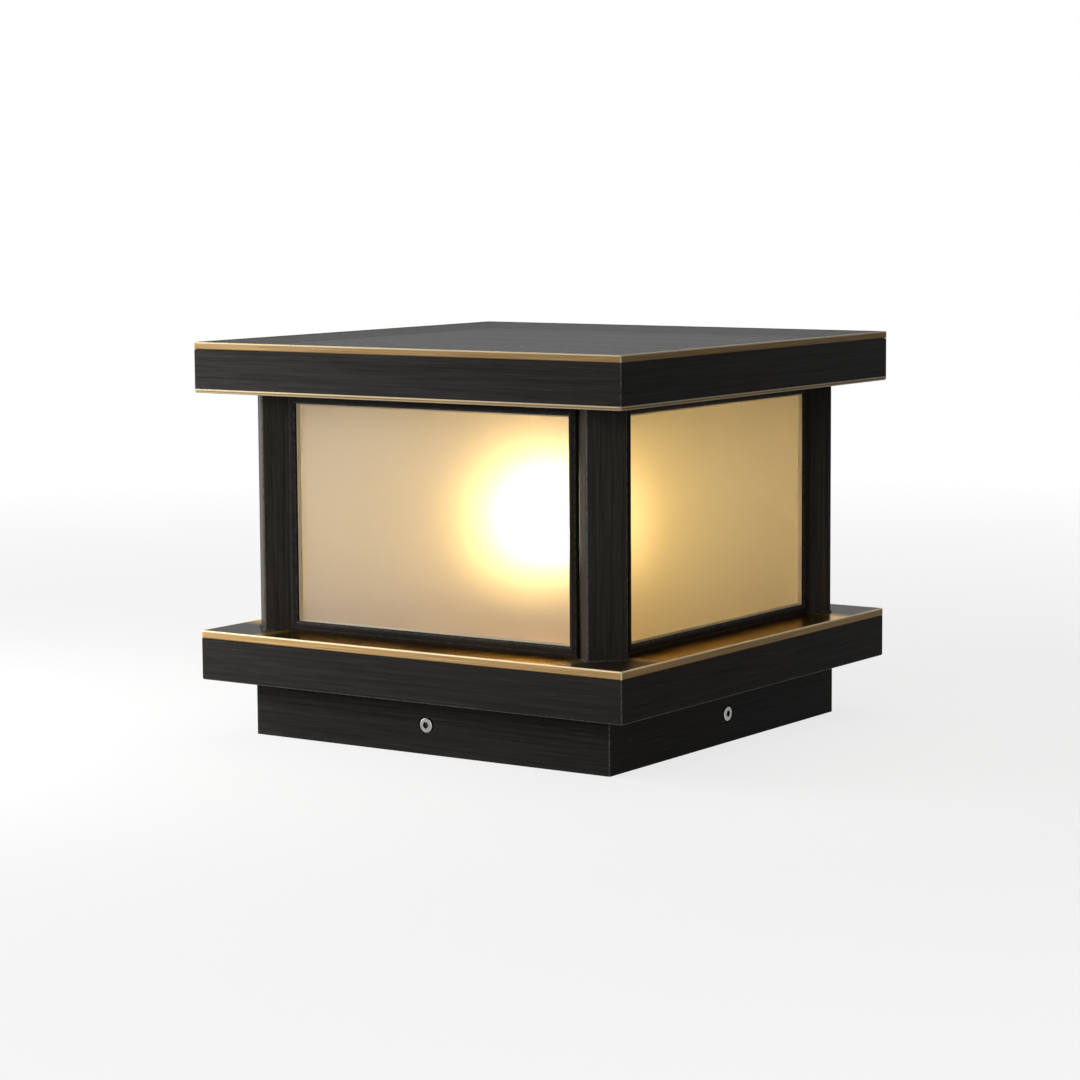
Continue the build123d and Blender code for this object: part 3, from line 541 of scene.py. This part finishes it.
def glowing_opal():
    """Lit opal globe of the bulb, with faint clouds in its colour."""
    s = Surface("bulb_opal")
    colour = s.mix(s.spread(s.noise(s.place(), scale=60.0)), LAMP_COLOUR, LAMP_PALE)
    return s.show(s.principled(
        Base_Color=OPAL, Roughness=OPAL_ROUGHNESS, Emission_Color=colour, Emission_Strength=LAMP_STRENGTH))


# Solar panel
def cover_glass():
    """Textured cover glass of the solar panel."""
    s = Surface("solar_cover")
    pits = s.noise(s.place(), scale=2600.0)
    dust = s.noise(s.place(), scale=12.0, detail=3.0)
    return s.show(s.principled(
        Base_Color=s.mix(s.spread(dust), COVER_DARK, COVER_LIGHT), Alpha=COVER_ALPHA,
        Roughness=s.spread(pits, out_low=0.34, out_high=0.4), Specular_Tint=COVER_SHEEN,
        Normal=s.bump(pits, depth=0.01 * MM, strength=0.2)))


def solar_cell():
    """Near-black cells with fine fingers and light busbars across each strip."""
    s = Surface("solar_cell")
    x, y, _ = s.axes(s.place())
    bars = s.stripe(s.math("ABSOLUTE", x), BUSBAR_PITCH, BUSBAR_WIDTH, BUSBAR_START)
    fingers = s.stripe(y, FINGER_PITCH, FINGER_WIDTH)
    shade, _, _ = s.axes(s.crystals("Color", scale=160.0))
    colour = s.mix(shade, CELL_DARK, CELL_LIGHT)
    colour = s.mix(s.math("MULTIPLY", fingers, FINGER_SHARE), colour, FINGER_GREY)
    colour = s.mix(bars, colour, BUSBAR_GREY)
    return s.show(s.principled(
        Base_Color=colour, Roughness=s.span(shade, 0.0, 1.0, out_low=0.5, out_high=0.6),
        Specular_IOR_Level=PANEL_SPECULAR, Metallic=s.math("MULTIPLY", bars, BUSBAR_METALLIC)))


def backsheet():
    """White behind the gaps between the cells, and black round the edge of the panel."""
    s = Surface("backsheet")
    _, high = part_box("solar_cells")
    fine = s.noise(s.place(), scale=600.0, detail=3.0)
    colour = s.mix(s.spread(fine), SHEET_DARK, SHEET_LIGHT)
    colour = s.mix(s.math("GREATER_THAN", s.outward(), high.x), colour, SHEET_BORDER)
    return s.show(s.principled(
        Base_Color=colour, Roughness=s.spread(fine, out_low=0.5, out_high=0.6),
        Specular_IOR_Level=PANEL_SPECULAR))


# Electrical pieces
def circuit_board():
    """Green board with lighter traces and tinned pads."""
    s = Surface("circuit_board")
    edge = s.crystals("Distance", scale=190.0, feature="DISTANCE_TO_EDGE")
    traces = s.span(edge, *TRACE_EDGE, out_low=1.0, out_high=0.0)
    x, y, _ = s.axes(s.place())
    columns = s.stripe(x, PAD_PITCH_X, PAD_LENGTH)
    rows = s.stripe(y, PAD_PITCH_Y, PAD_WIDTH)
    pads = s.math("MULTIPLY", columns, rows)
    colour = s.mix(traces, BOARD_GREEN, TRACE_GREEN)
    colour = s.mix(pads, colour, PAD_TIN)
    return s.show(s.principled(
        Base_Color=colour, Roughness=s.span(traces, 0.0, 1.0, out_low=0.38, out_high=0.3),
        Metallic=pads, Normal=s.bump(traces, depth=0.04 * MM, strength=0.5)))


def battery_wrap():
    """Shrunk film round the cells, with bare metal at their ends."""
    s = Surface("battery_wrap")
    _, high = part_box("battery_cells")
    _, along, _ = s.offsets()
    ends = s.math("GREATER_THAN", along, high.y - CELL_END_DEPTH)
    creases = s.noise(s.place(WRAP_GRAIN))
    colour = s.mix(s.spread(creases), WRAP_DARK, WRAP_LIGHT)
    colour = s.mix(ends, colour, CELL_END)
    return s.show(s.principled(
        Base_Color=colour, Metallic=ends, Roughness=s.spread(creases, out_low=0.25, out_high=0.4),
        Normal=s.bump(creases, depth=0.15 * MM, strength=0.4)))


# Materials that single nodes and added pieces use, and then the finish of each material slot
level_bronze = bronze("bronze_level_grain", LEVEL_GRAIN)
tray_bronze = bronze("bronze_tray", LEVEL_GRAIN, polished_glow_top=True)
# Posts are a lighter, warmer copy of the bronze: painted light. Frames and mouldings are darker copies:
# painted shade.
post_bronze = bronze(
    "bronze_upright_grain", UPRIGHT_GRAIN, turn=QUARTER_TURN / 2, lined=True, wear_and_highlight=0.6, shade=POST_PAINTED_LIGHT)
frame_bronze = bronze("bronze_frame", EVEN_GRAIN, mitred=True, lined=True, wear_and_highlight=0.4, shade=FRAME_PAINTED_SHADE)
moulding_bronze = bronze("bronze_moulding", EVEN_GRAIN, wear_and_highlight=0.3, shade=MOULDING_PAINTED_SHADE)
weld_bronze = bronze("bronze_weld", WELD_GRAIN, wear_and_highlight=0.6, shade=WELD_SHADE)
zinc = spangled_zinc()
nickel = plain_metal(
    "cap_nickel", dark=(0.52, 0.51, 0.49, 1), light=(0.66, 0.65, 0.62, 1), roughness=(0.2, 0.34),
    speckle=500.0)
sealant = glazing_sealant()
ferrite = moulded(
    "ferrite", dark=(0.035, 0.035, 0.036, 1), light=(0.05, 0.05, 0.051, 1), roughness=(0.45, 0.6),
    grain=1500.0)
black_plastic = moulded(
    "black_plastic", dark=(0.012, 0.012, 0.013, 1), light=(0.02, 0.02, 0.021, 1), roughness=(0.4, 0.55),
    grain=1800.0)
white_plastic = moulded(
    "white_plastic", dark=(0.72, 0.71, 0.67, 1), light=(0.8, 0.79, 0.75, 1), roughness=(0.35, 0.5),
    grain=900.0)

finishes = {
    "dark_bronze": level_bronze,
    "frosted_glass": frosted_glass(),
    "stainless": plain_metal(
        "stainless", dark=(0.24, 0.237, 0.23, 1), light=(0.42, 0.415, 0.405, 1), roughness=(0.24, 0.36),
        speckle=700.0, shade_sockets=True),
    "zinc_steel": zinc,
    "black_rubber": moulded(
        "black_rubber", dark=(0.010, 0.010, 0.010, 1), light=(0.018, 0.018, 0.018, 1), roughness=(0.6, 0.8),
        grain=1500.0),
    "reflector_white": moulded(
        "reflector_white", dark=(0.8, 0.8, 0.78, 1), light=(0.86, 0.86, 0.84, 1), roughness=(0.4, 0.5),
        grain=400.0),
    "white_plastic": white_plastic,
    "contact_brass": plain_metal(
        "contact_brass", dark=(0.5, 0.36, 0.15, 1), light=(0.68, 0.52, 0.26, 1), roughness=(0.25, 0.4),
        speckle=500.0),
    "cap_nickel": nickel,
    "bulb_diffuser": glowing_opal(),
    "led_board": moulded(
        "led_board", dark=(0.75, 0.75, 0.74, 1), light=(0.84, 0.84, 0.83, 1), roughness=(0.4, 0.5),
        grain=900.0),
    "battery_wrap": battery_wrap(),
    "black_plastic": black_plastic,
    "button_plastic": moulded(
        "button_plastic", dark=(0.02, 0.02, 0.021, 1), light=(0.03, 0.03, 0.031, 1), roughness=(0.2, 0.32),
        grain=900.0),
    "circuit_board": circuit_board(),
    "lead_sheath": moulded(
        "lead_sheath", dark=(0.014, 0.014, 0.014, 1), light=(0.022, 0.022, 0.022, 1), roughness=(0.35, 0.5),
        grain=700.0),
    "solar_cover": cover_glass(),
    "solar_cell": solar_cell(),
    "backsheet": backsheet(),
}


def finish_of(node, slot):
    """Material of a CAD node: its slot's finish, or a bronze or brass of its own."""
    if node == "tray_shell":
        return tray_bronze
    if node.startswith("post_"):
        return post_bronze
    if node.startswith("frame_"):
        return frame_bronze
    if slot == "antique_brass":
        return brass(node, BRASS_PAINTED_LIGHT.get(node, 1.0))
    return finishes[slot]


for part in frame["record"]["subparts"]:
    mesh = nodes[part["node"]].data
    mesh.materials.clear()
    mesh.materials.append(finish_of(part["node"], part["material_slot"]))


# Pieces added to the solids
SHARP_ANGLE = math.radians(40)
LATHE_STEPS = 40


def skin(shape, rings):
    """Faces between closed rings of points, each of one point or as many as the next."""
    made = [[shape.verts.new(point) for point in ring] for ring in rings]
    for first, second in zip(made, made[1:]):
        count = max(len(first), len(second))
        for i in range(count):
            j = (i + 1) % count
            corners = [ring[k % len(ring)] for ring, k in ((first, i), (first, j), (second, j), (second, i))]
            shape.faces.new(dict.fromkeys(corners))


def add_piece(name, shape, body, material):
    """Makes a piece of a shape, smooth but for its sharp edges, that moves with a body."""
    bmesh.ops.recalc_face_normals(shape, faces=shape.faces)
    for face in shape.faces:
        face.smooth = True
    for edge in shape.edges:
        edge.smooth = len(edge.link_faces) == 2 and edge.calc_face_angle() < SHARP_ANGLE
    mesh = bpy.data.meshes.new(name)
    shape.to_mesh(mesh)
    shape.free()
    mesh.materials.append(material)
    made = bpy.data.objects.new(name, mesh)
    bpy.context.scene.collection.objects.link(made)
    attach(made, body)
    return made


def block(shape, low, high, bevel):
    """Box between two corners with bevelled edges."""
    place = Matrix.Translation((low + high) / 2) @ Matrix.Diagonal((*(high - low), 1))
    made = bmesh.ops.create_cube(shape, size=1.0, matrix=place)["verts"]
    edges = {edge for vert in made for edge in vert.link_edges}
    bmesh.ops.bevel(shape, geom=list(edges), offset=bevel, segments=2, affect="EDGES", profile=0.5)


def bar(shape, points, across, width, thick):
    """Flat bar bent along a line of points."""
    points = [Vector(point) for point in points]
    across = Vector(across).normalized()
    rings = []
    for i, point in enumerate(points):
        along = (points[min(i + 1, len(points) - 1)] - points[max(i - 1, 0)]).normalized()
        up = across.cross(along) * thick / 2
        out = across * width / 2
        rings.append([point + out + up, point - out + up, point - out - up, point + out - up])
    first, last = (sum(ring, Vector()) / len(ring) for ring in (rings[0], rings[-1]))
    skin(shape, [[first], *rings, [last]])


def lathe(shape, centre, profile):
    """Turned shape about an upright axis, from (radius, height) points that start and end on the axis."""
    rings = []
    for radius, height in profile:
        count = LATHE_STEPS if radius else 1
        turns = [math.tau * i / count for i in range(count)]
        rings.append([centre + Vector((radius * math.cos(a), radius * math.sin(a), height)) for a in turns])
    skin(shape, rings)


# Cross recess of a screw's head of radius 1, with angles in degrees from the middle of an arm
CROSS_OFFSETS = (-45, -36, -28, -20, -13, -6, 0, 6, 13, 20, 28, 36)
CROSS_ARM = 13
CROSS_REACH = 0.56
CROSS_HALF_WIDTH = CROSS_REACH * math.tan(math.radians(CROSS_ARM))
CROSS_FLOOR = 0.35
CROSS_TAPER = 0.86

# Domed face of a screw's head, in rings from its rim (1) to the cross (0)
DOME_DROP = 0.5
DOME_POWER = 2.6
DOME_RINGS = (1, 0.8, 0.5, 0.25, 0)


def cross_outline(offset):
    """Radius of a cross recess for a head of radius 1, at an angle from one of its arms."""
    if abs(offset) <= CROSS_ARM:
        return CROSS_REACH / math.cos(math.radians(offset))
    return CROSS_HALF_WIDTH / math.sin(math.radians(abs(offset)))


def cross_screw(shape, at, seat, top, tip, head, shank):
    """Pan-head screw with a cross recess; top lies above or below the seat of its head."""
    x, y = at
    tall = top - seat
    floor = seat + tall * CROSS_FLOOR
    angles = []
    for arm in range(0, 360, 90):
        angles += [(math.radians(arm + offset), cross_outline(offset)) for offset in CROSS_OFFSETS]

    def ring(share, spread, height=None):
        """Ring between the cross's outline (spread 0) and a circle (1), at a height or on the dome."""
        points = []
        for angle, cross in angles:
            r = cross + (1 - cross) * spread
            z = seat + tall * (1 - DOME_DROP * r ** DOME_POWER) if height is None else height
            reach = head * share * r
            points.append((x + reach * math.cos(angle), y + reach * math.sin(angle), z))
        return points

    stem = [ring(shank / head, 1, tip), ring(shank / head, 1, seat), ring(1, 1, seat)]
    face = [ring(1, spread) for spread in DOME_RINGS]
    skin(shape, [[(x, y, tip)], *stem, *face, ring(CROSS_TAPER, 0, floor), [(x, y, floor)]])


SCREW_HEAD_RADIUS = 3.5 * MM
SCREW_HEAD_HEIGHT = 2.6 * MM
SCREW_SHANK_RADIUS = 2.0 * MM


def make_screws():
    """Bracket and cap screws with domed, cross-recessed heads in place of the plain ones."""
    for node, body, slot, material, down in (
            ("bracket_screws", "base", "zinc_steel", zinc, False),
            ("cap_screws", "lamp_body", "dark_bronze", level_bronze, True)):
        low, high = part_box(node)
        x, y = high.x - SCREW_HEAD_RADIUS, high.y - SCREW_HEAD_RADIUS
        top, tip = (low.z, high.z) if down else (high.z, low.z)
        seat = top + (SCREW_HEAD_HEIGHT if down else -SCREW_HEAD_HEIGHT)
        shape = bmesh.new()
        for corner in ((x, y), (-x, y), (-x, -y), (x, -y)):
            cross_screw(shape, corner, seat, top, tip, SCREW_HEAD_RADIUS, SCREW_SHANK_RADIUS)
        made = add_piece("detailed_" + node, shape, body, material)
        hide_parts(node)


# Mouldings and beads round the openings of the frames. They stand off the stiles by a hair, so that their
# faces don't coincide. The bead's profile is of points (outwards from the opening's edge, off the glass).
STILE = 4.5 * MM
STAND_OFF = 0.0014 * MM
RAIL_BOTTOM = 5.2 * MM
RAIL_TOP = 8.2 * MM
MOULDING_GAP = 0.2 * MM
MOULDING_WIDTH = 4.1 * MM
MOULDING_RISE = 1.3 * MM
MOULDING_STEPS = 10
BEAD_PROFILE = ((0.0, 0.0), (0.0, 1.7 * MM), (-0.45 * MM, 1.1 * MM), (-0.8 * MM, 0.0))


def sight_loop(shape, profile, turn):
    """Mitred loop round a frame's opening, of a profile's points (outwards from its edge, from the axis)."""
    low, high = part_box("frame_front")
    half = high.x - STILE - STAND_OFF
    corners = ((-1, 0), (1, 0), (1, 1), (-1, 1))
    for i, start in enumerate(corners):
        end = corners[(i + 1) % len(corners)]
        rings = []
        for across, level in (start, end):
            ring = []
            for out, depth in profile:
                x = across * (half + out)
                z = high.z - RAIL_TOP + out if level else low.z + RAIL_BOTTOM - out
                ring.append(turn @ Vector((x, -depth, z)))
            rings.append(ring)
        skin(shape, rings)


def make_frames():
    """Half-round moulding on each frame, and the pale bead of sealant round its pane."""
    face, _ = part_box("frame_front")
    glass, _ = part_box("glass_front")
    half = MOULDING_WIDTH / 2
    middle = MOULDING_GAP + half
    arc = [math.pi * i / MOULDING_STEPS for i in range(MOULDING_STEPS + 1)]
    moulding = [(middle - half * math.cos(a), -face.y + MOULDING_RISE * math.sin(a)) for a in arc]
    bead = [(out, -glass.y + off) for out, off in BEAD_PROFILE]
    for i, side in enumerate(SIDES):
        turn = Matrix.Rotation(QUARTER_TURN * i, 3, "Z")
        shape = bmesh.new()
        sight_loop(shape, moulding, turn)
        add_piece("frame_moulding_" + side, shape, "lamp_body", moulding_bronze)
        shape = bmesh.new()
        sight_loop(shape, bead, turn)
        add_piece("glazing_bead_" + side, shape, "lamp_body", sealant)


# Weld beads, swollen by an even ripple and by a slower wander
WELD_SIZE = 0.85 * MM
WELD_RETURN = 6.0 * MM
WELD_STEP = 0.25 * MM
WELD_ARC_STEPS = 5
RIPPLE_PITCH = 1.3 * MM
RIPPLE_SHARE = 0.22
WANDER_SHARE = 0.16
WANDER_TURN = 0.37
POST_HALF = 9.75 * MM
POST_ROUND = 1.3 * MM


def weld_path():
    """(outward, sideways, direction) along a post's outer flat and round its corners, in its own axes."""
    flat = POST_HALF - POST_ROUND
    run = WELD_RETURN - POST_ROUND
    bend = POST_ROUND * QUARTER_TURN
    total = 2 * run + 2 * bend + 2 * flat
    for i in range(int(total / WELD_STEP) + 1):
        along = i * WELD_STEP - total / 2
        side = 1 if along > 0 else -1
        length = abs(along)
        if length < flat:
            yield POST_HALF, side * length, 0.0
        elif length < flat + bend:
            angle = (length - flat) / POST_ROUND
            out = flat + POST_ROUND * math.cos(angle)
            yield out, side * (flat + POST_ROUND * math.sin(angle)), side * angle
        else:
            yield flat - (length - flat - bend), side * POST_HALF, side * QUARTER_TURN


def make_welds():
    """Rippled fillet weld along the foot of each post, on the tray."""
    up = Vector((0, 0, 1))
    arc = [QUARTER_TURN * n / WELD_ARC_STEPS for n in range(WELD_ARC_STEPS + 1)]
    for i, corner in enumerate(CORNERS):
        low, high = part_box("post_" + corner)
        middle = (low + high) / 2
        foot = Vector((middle.x, middle.y, low.z))
        facing = QUARTER_TURN * (i - 0.5)
        rings = []
        for k, (out, side, bend) in enumerate(weld_path()):
            ripple = RIPPLE_SHARE * math.sin(math.tau * k * WELD_STEP / RIPPLE_PITCH)
            wander = WANDER_SHARE * math.sin(k * WANDER_TURN + i)
            size = WELD_SIZE * (1 + ripple + wander)
            root = foot + Matrix.Rotation(facing, 3, "Z") @ Vector((out, side, 0))
            away = Matrix.Rotation(facing + bend, 3, "Z") @ Vector((1, 0, 0))
            rings.append([root, *(root + size * (away * math.cos(a) + up * math.sin(a)) for a in arc)])
        shape = bmesh.new()
        skin(shape, [[rings[0][0]], *rings, [rings[-1][0]]])
        add_piece("weld_bead_" + corner, shape, "lamp_body", weld_bronze)


# Charge board, with the socket on its upper face
board_low, board_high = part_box("charge_board")
board_middle = (board_low + board_high) / 2
board_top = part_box("solar_socket")[0].z

# Its parts, in millimetres from the middle of that face. A chip is (x, y, length, legs on each side), a row
# of resistors (x, y, step along X, step along Y), a profile's point (radius, height) and a leg's point
# (sideways, height).
CHIPS = ((-3.0, 6.0, 9.0, 6), (-6.5, -22.0, 5.0, 3))
CHIP_WIDTH = 5.2
CHIP_HEIGHT = 1.6
CHIP_STAND = 0.4
CHIP_BEVEL = 0.25
LEG_LINE = ((2.4, 1.2), (3.0, 1.2), (3.4, 0.2), (4.2, 0.12))
LEG_WIDTH = 0.6
LEG_THICK = 0.2
RESISTORS_IN_ROW = 4
RESISTOR_ROWS = ((-9.5, 16.0, 4.2, 0.0), (-9.5, 22.5, 4.2, 0.0), (3.5, -6.0, 0.0, 4.0))
RESISTOR_SIZE = (1.4, 1.3, 0.65)
RESISTOR_END_SIZE = (0.6, 1.36, 0.7)
RESISTOR_END_SPOT = 0.95
RESISTOR_BEVEL = 0.08
COIL_SPOT = (0.0, -17.0)
COIL_PROFILE = ((0, 0), (5.2, 0), (5.6, 0.4), (5.6, 1.0), (3.9, 1.3), (3.9, 3.6), (5.6, 3.9), (5.6, 4.6),
                (5.2, 5.0), (2.2, 5.0), (1.8, 4.6), (0, 4.6))
CAN_SPOTS = ((14.0, -21.0), (14.0, 21.0))
CAN_PROFILE = ((0, 0), (3.2, 0), (3.4, 0.3), (3.4, 1.2), (3.0, 1.5), (3.0, 1.9), (3.4, 2.2), (3.4, 7.9),
               (3.1, 8.4), (2.7, 8.5), (2.6, 8.3), (0, 8.3))
TERMINAL_SPOTS = ((-16.5, -12.0), (-16.5, -3.5), (-16.5, 3.5), (-16.5, 12.0))
TERMINAL_HEAD = 1.7
TERMINAL_SHANK = 1.2
TERMINAL_SINK = 0.1
TERMINAL_RISE = 0.7
TERMINAL_DEPTH = 0.8


def on_board(x, y, rise=0.0):
    """Point at millimetres from the middle of the charge board's upper face."""
    return Vector((board_middle.x, board_middle.y, board_top)) + Vector((x, y, rise)) * MM


def board_block(shape, x, y, size, bevel, stand=0.0):
    """Bevelled block centred over a spot of the charge board."""
    wide, long, tall = size
    low = on_board(x - wide / 2, y - long / 2, stand)
    high = on_board(x + wide / 2, y + long / 2, stand + tall)
    block(shape, low, high, bevel * MM)


def board_lathe(shape, spot, profile):
    """Turned shape that stands on a spot of the charge board."""
    lathe(shape, on_board(*spot), [(radius * MM, height * MM) for radius, height in profile])


def make_chips(chips, pins):
    """Chips with a row of bent legs along each long side."""
    for x, y, long, legs in CHIPS:
        board_block(chips, x, y, (CHIP_WIDTH, long, CHIP_HEIGHT), CHIP_BEVEL, CHIP_STAND)
        for leg in range(legs):
            at = y + (leg - (legs - 1) / 2) * long / legs
            for side in (-1, 1):
                line = [on_board(x + side * out, at, rise) for out, rise in LEG_LINE]
                bar(pins, line, (0, 1, 0), LEG_WIDTH * MM, LEG_THICK * MM)


def make_resistors(resistors, pins):
    """Rows of chip resistors with tinned ends."""
    for row_x, row_y, step_x, step_y in RESISTOR_ROWS:
        for i in range(RESISTORS_IN_ROW):
            x, y = row_x + step_x * i, row_y + step_y * i
            board_block(resistors, x, y, RESISTOR_SIZE, RESISTOR_BEVEL)
            for side in (-1, 1):
                board_block(pins, x + side * RESISTOR_END_SPOT, y, RESISTOR_END_SIZE, RESISTOR_BEVEL)


def make_board_parts():
    """Chips, pins, chip resistors, coil, capacitors and terminal screws of the charge board."""
    chips = bmesh.new()
    pins = bmesh.new()
    resistors = bmesh.new()
    make_chips(chips, pins)
    make_resistors(resistors, pins)
    add_piece("charge_chips", chips, "base", black_plastic)
    add_piece("charge_resistors", resistors, "base", black_plastic)
    add_piece("charge_pins", pins, "base", nickel)

    coil = bmesh.new()
    board_lathe(coil, COIL_SPOT, COIL_PROFILE)
    add_piece("charge_coil", coil, "base", ferrite)

    cans = bmesh.new()
    for spot in CAN_SPOTS:
        board_lathe(cans, spot, CAN_PROFILE)
    add_piece("charge_capacitors", cans, "base", nickel)

    screws = bmesh.new()
    seat, top, tip = (board_high.z + rise * MM for rise in (-TERMINAL_SINK, TERMINAL_RISE, -TERMINAL_DEPTH))
    for spot in TERMINAL_SPOTS:
        x, y, _ = on_board(*spot)
        cross_screw(screws, (x, y), seat, top, tip, TERMINAL_HEAD * MM, TERMINAL_SHANK * MM)
    add_piece("terminal_screws", screws, "base", zinc)


TAB_STAND = 0.12 * MM
TAB_WIDTH = 7.0 * MM
TAB_THICK = 0.18 * MM
TAB_INSET = 0.45


def make_battery_tabs():
    """Nickel strips that join the ends of the cells."""
    low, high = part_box("battery_cells")
    radius = (high.z - low.z) / 2
    middle = (high.z + low.z) / 2
    inset = radius * TAB_INSET
    shape = bmesh.new()
    for y in (low.y - TAB_STAND, high.y + TAB_STAND):
        line = [(x, y, middle) for x in (low.x + inset, low.x + radius, high.x - radius, high.x - inset)]
        bar(shape, line, (0, 0, 1), TAB_WIDTH, TAB_THICK)
    add_piece("battery_tabs", shape, "base", nickel)


# Ribs of the lamp holder; the points of their ends are (share of the rise, distance from the end)
RIBS = 44
RIB_LENGTH = 18.0 * MM
RIB_BELOW_TOP = 4.5 * MM
RIB_SINK = 0.2 * MM
RIB_RISE = 0.8 * MM
RIB_HALF_WIDTH = 0.75 * MM
RIB_ARC_STEPS = 4
RIB_END = ((0.0, 0.0), (0.6, 0.6 * MM), (1.0, 1.6 * MM))


def make_holder_grip():
    """Grip ribs round the cup of the lamp holder."""
    _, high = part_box("lamp_holder")
    root = high.x - RIB_SINK
    top = high.z - RIB_BELOW_TOP
    bottom = top - RIB_LENGTH
    sections = [(share, bottom + off) for share, off in RIB_END]
    sections += [(share, top - off) for share, off in reversed(RIB_END)]
    arc = [math.pi * i / RIB_ARC_STEPS for i in range(RIB_ARC_STEPS + 1)]
    shape = bmesh.new()
    for i in range(RIBS):
        turn = Matrix.Rotation(math.tau * i / RIBS, 3, "Z")
        rings = []
        for share, z in sections:
            points = [(root + RIB_RISE * share * math.sin(a), RIB_HALF_WIDTH * math.cos(a), z) for a in arc]
            rings.append([turn @ Vector(point) for point in points])
        skin(shape, rings)
    add_piece("holder_grip", shape, "base", white_plastic)


make_screws()
make_frames()
make_welds()
make_board_parts()
make_battery_tabs()
make_holder_grip()


# Studio: white background, pale floor that keeps the shadow, and soft light
def background_share(s):
    """1 for the rays that show the background: straight, mirrored or through glass."""
    path = s.node("LightPath")
    total = path.outputs["Is Camera Ray"]
    for name in ("Is Glossy Ray", "Is Transmission Ray"):
        total = s.math("MAXIMUM", total, path.outputs[name])
    return total


def make_world():
    """Dim light from all round, behind a background that shows as white."""
    world = bpy.data.worlds.new("studio")
    bpy.context.scene.world = world
    world.use_nodes = True
    s = Nodes(world.node_tree)
    ambient = s.node("Background", {"Strength": AMBIENT}).outputs[0]
    white = s.node("Background", {"Color": WHITE, "Strength": 1.0}).outputs[0]
    shown = s.blend(background_share(s), ambient, white)
    s.feed(s.node("OutputWorld").inputs["Surface"], shown)


def floor_white():
    """Floor that fades to white away from the part, bounces little light, and is clear from below."""
    s = Surface("floor_white")
    bounce = s.node("BsdfDiffuse", {"Color": FLOOR_BOUNCE}).outputs[0]
    paint = s.node("BsdfDiffuse", {"Color": FLOOR_WHITE}).outputs[0]
    glow = s.node("Emission", {"Strength": 1.0}).outputs[0]
    away = s.node("VectorMath", {0: s.place()}, operation="LENGTH").outputs["Value"]
    white = s.blend(s.span(away, FLOOR_NEAR, FLOOR_FAR, out_low=FLOOR_GLOW), paint, glow)
    top = s.blend(background_share(s), bounce, white)
    below = s.node("BsdfTransparent").outputs[0]
    return s.show(s.blend(s.node("NewGeometry").outputs["Backfacing"], top, below))


def make_floor():
    """Round floor under the part."""
    mesh = bpy.data.meshes.new("floor")
    shape = bmesh.new()
    bmesh.ops.create_circle(shape, cap_ends=True, segments=64, radius=FLOOR_RADIUS)
    shape.to_mesh(mesh)
    shape.free()
    mesh.materials.append(floor_white())
    floor = bpy.data.objects.new("floor", mesh)
    bpy.context.scene.collection.objects.link(floor)


def soft_light(name, place, size, power):
    """Square light turned towards the part, which the camera doesn't see."""
    lamp = bpy.data.lights.new(name, "AREA")
    lamp.size = size
    lamp.energy = power
    holder = bpy.data.objects.new(name, lamp)
    holder.location = place
    towards = Vector(LIGHT_TARGET) - Vector(place)
    holder.rotation_euler = towards.to_track_quat("-Z", "Y").to_euler()
    holder.visible_camera = False
    bpy.context.scene.collection.objects.link(holder)


def make_camera():
    """Camera turned by its azimuth about Z, down by its pitch, and by its roll about the line of sight."""
    azimuth, pitch, roll = (math.radians(a) for a in (CAMERA_AZIMUTH, CAMERA_PITCH, CAMERA_ROLL))
    ahead = Vector((-math.sin(azimuth), math.cos(azimuth), 0))
    right = Vector((math.cos(azimuth), math.sin(azimuth), 0))
    up = ahead * math.sin(pitch) + Vector((0, 0, math.cos(pitch)))
    forward = ahead * math.cos(pitch) - Vector((0, 0, math.sin(pitch)))
    across = right * math.cos(roll) - up * math.sin(roll)
    upward = right * math.sin(roll) + up * math.cos(roll)
    camera = bpy.data.objects.new("camera", bpy.data.cameras.new("camera"))
    turn = Matrix((across, upward, -forward)).transposed().to_4x4()
    camera.matrix_world = Matrix.Translation(CAMERA_PLACE) @ turn
    camera.data.lens = CAMERA_LENS
    camera.data.shift_x, camera.data.shift_y = CAMERA_SHIFT
    camera.data.clip_start = CAMERA_NEAR
    bpy.context.scene.collection.objects.link(camera)
    bpy.context.scene.camera = camera


make_world()
make_floor()
soft_light("key", KEY_PLACE, KEY_SIZE, KEY_POWER)
soft_light("fill", FILL_PLACE, FILL_SIZE, FILL_POWER)
soft_light("top", TOP_PLACE, TOP_SIZE, TOP_POWER)
make_camera()
bpy.context.scene.view_settings.view_transform = "Standard"
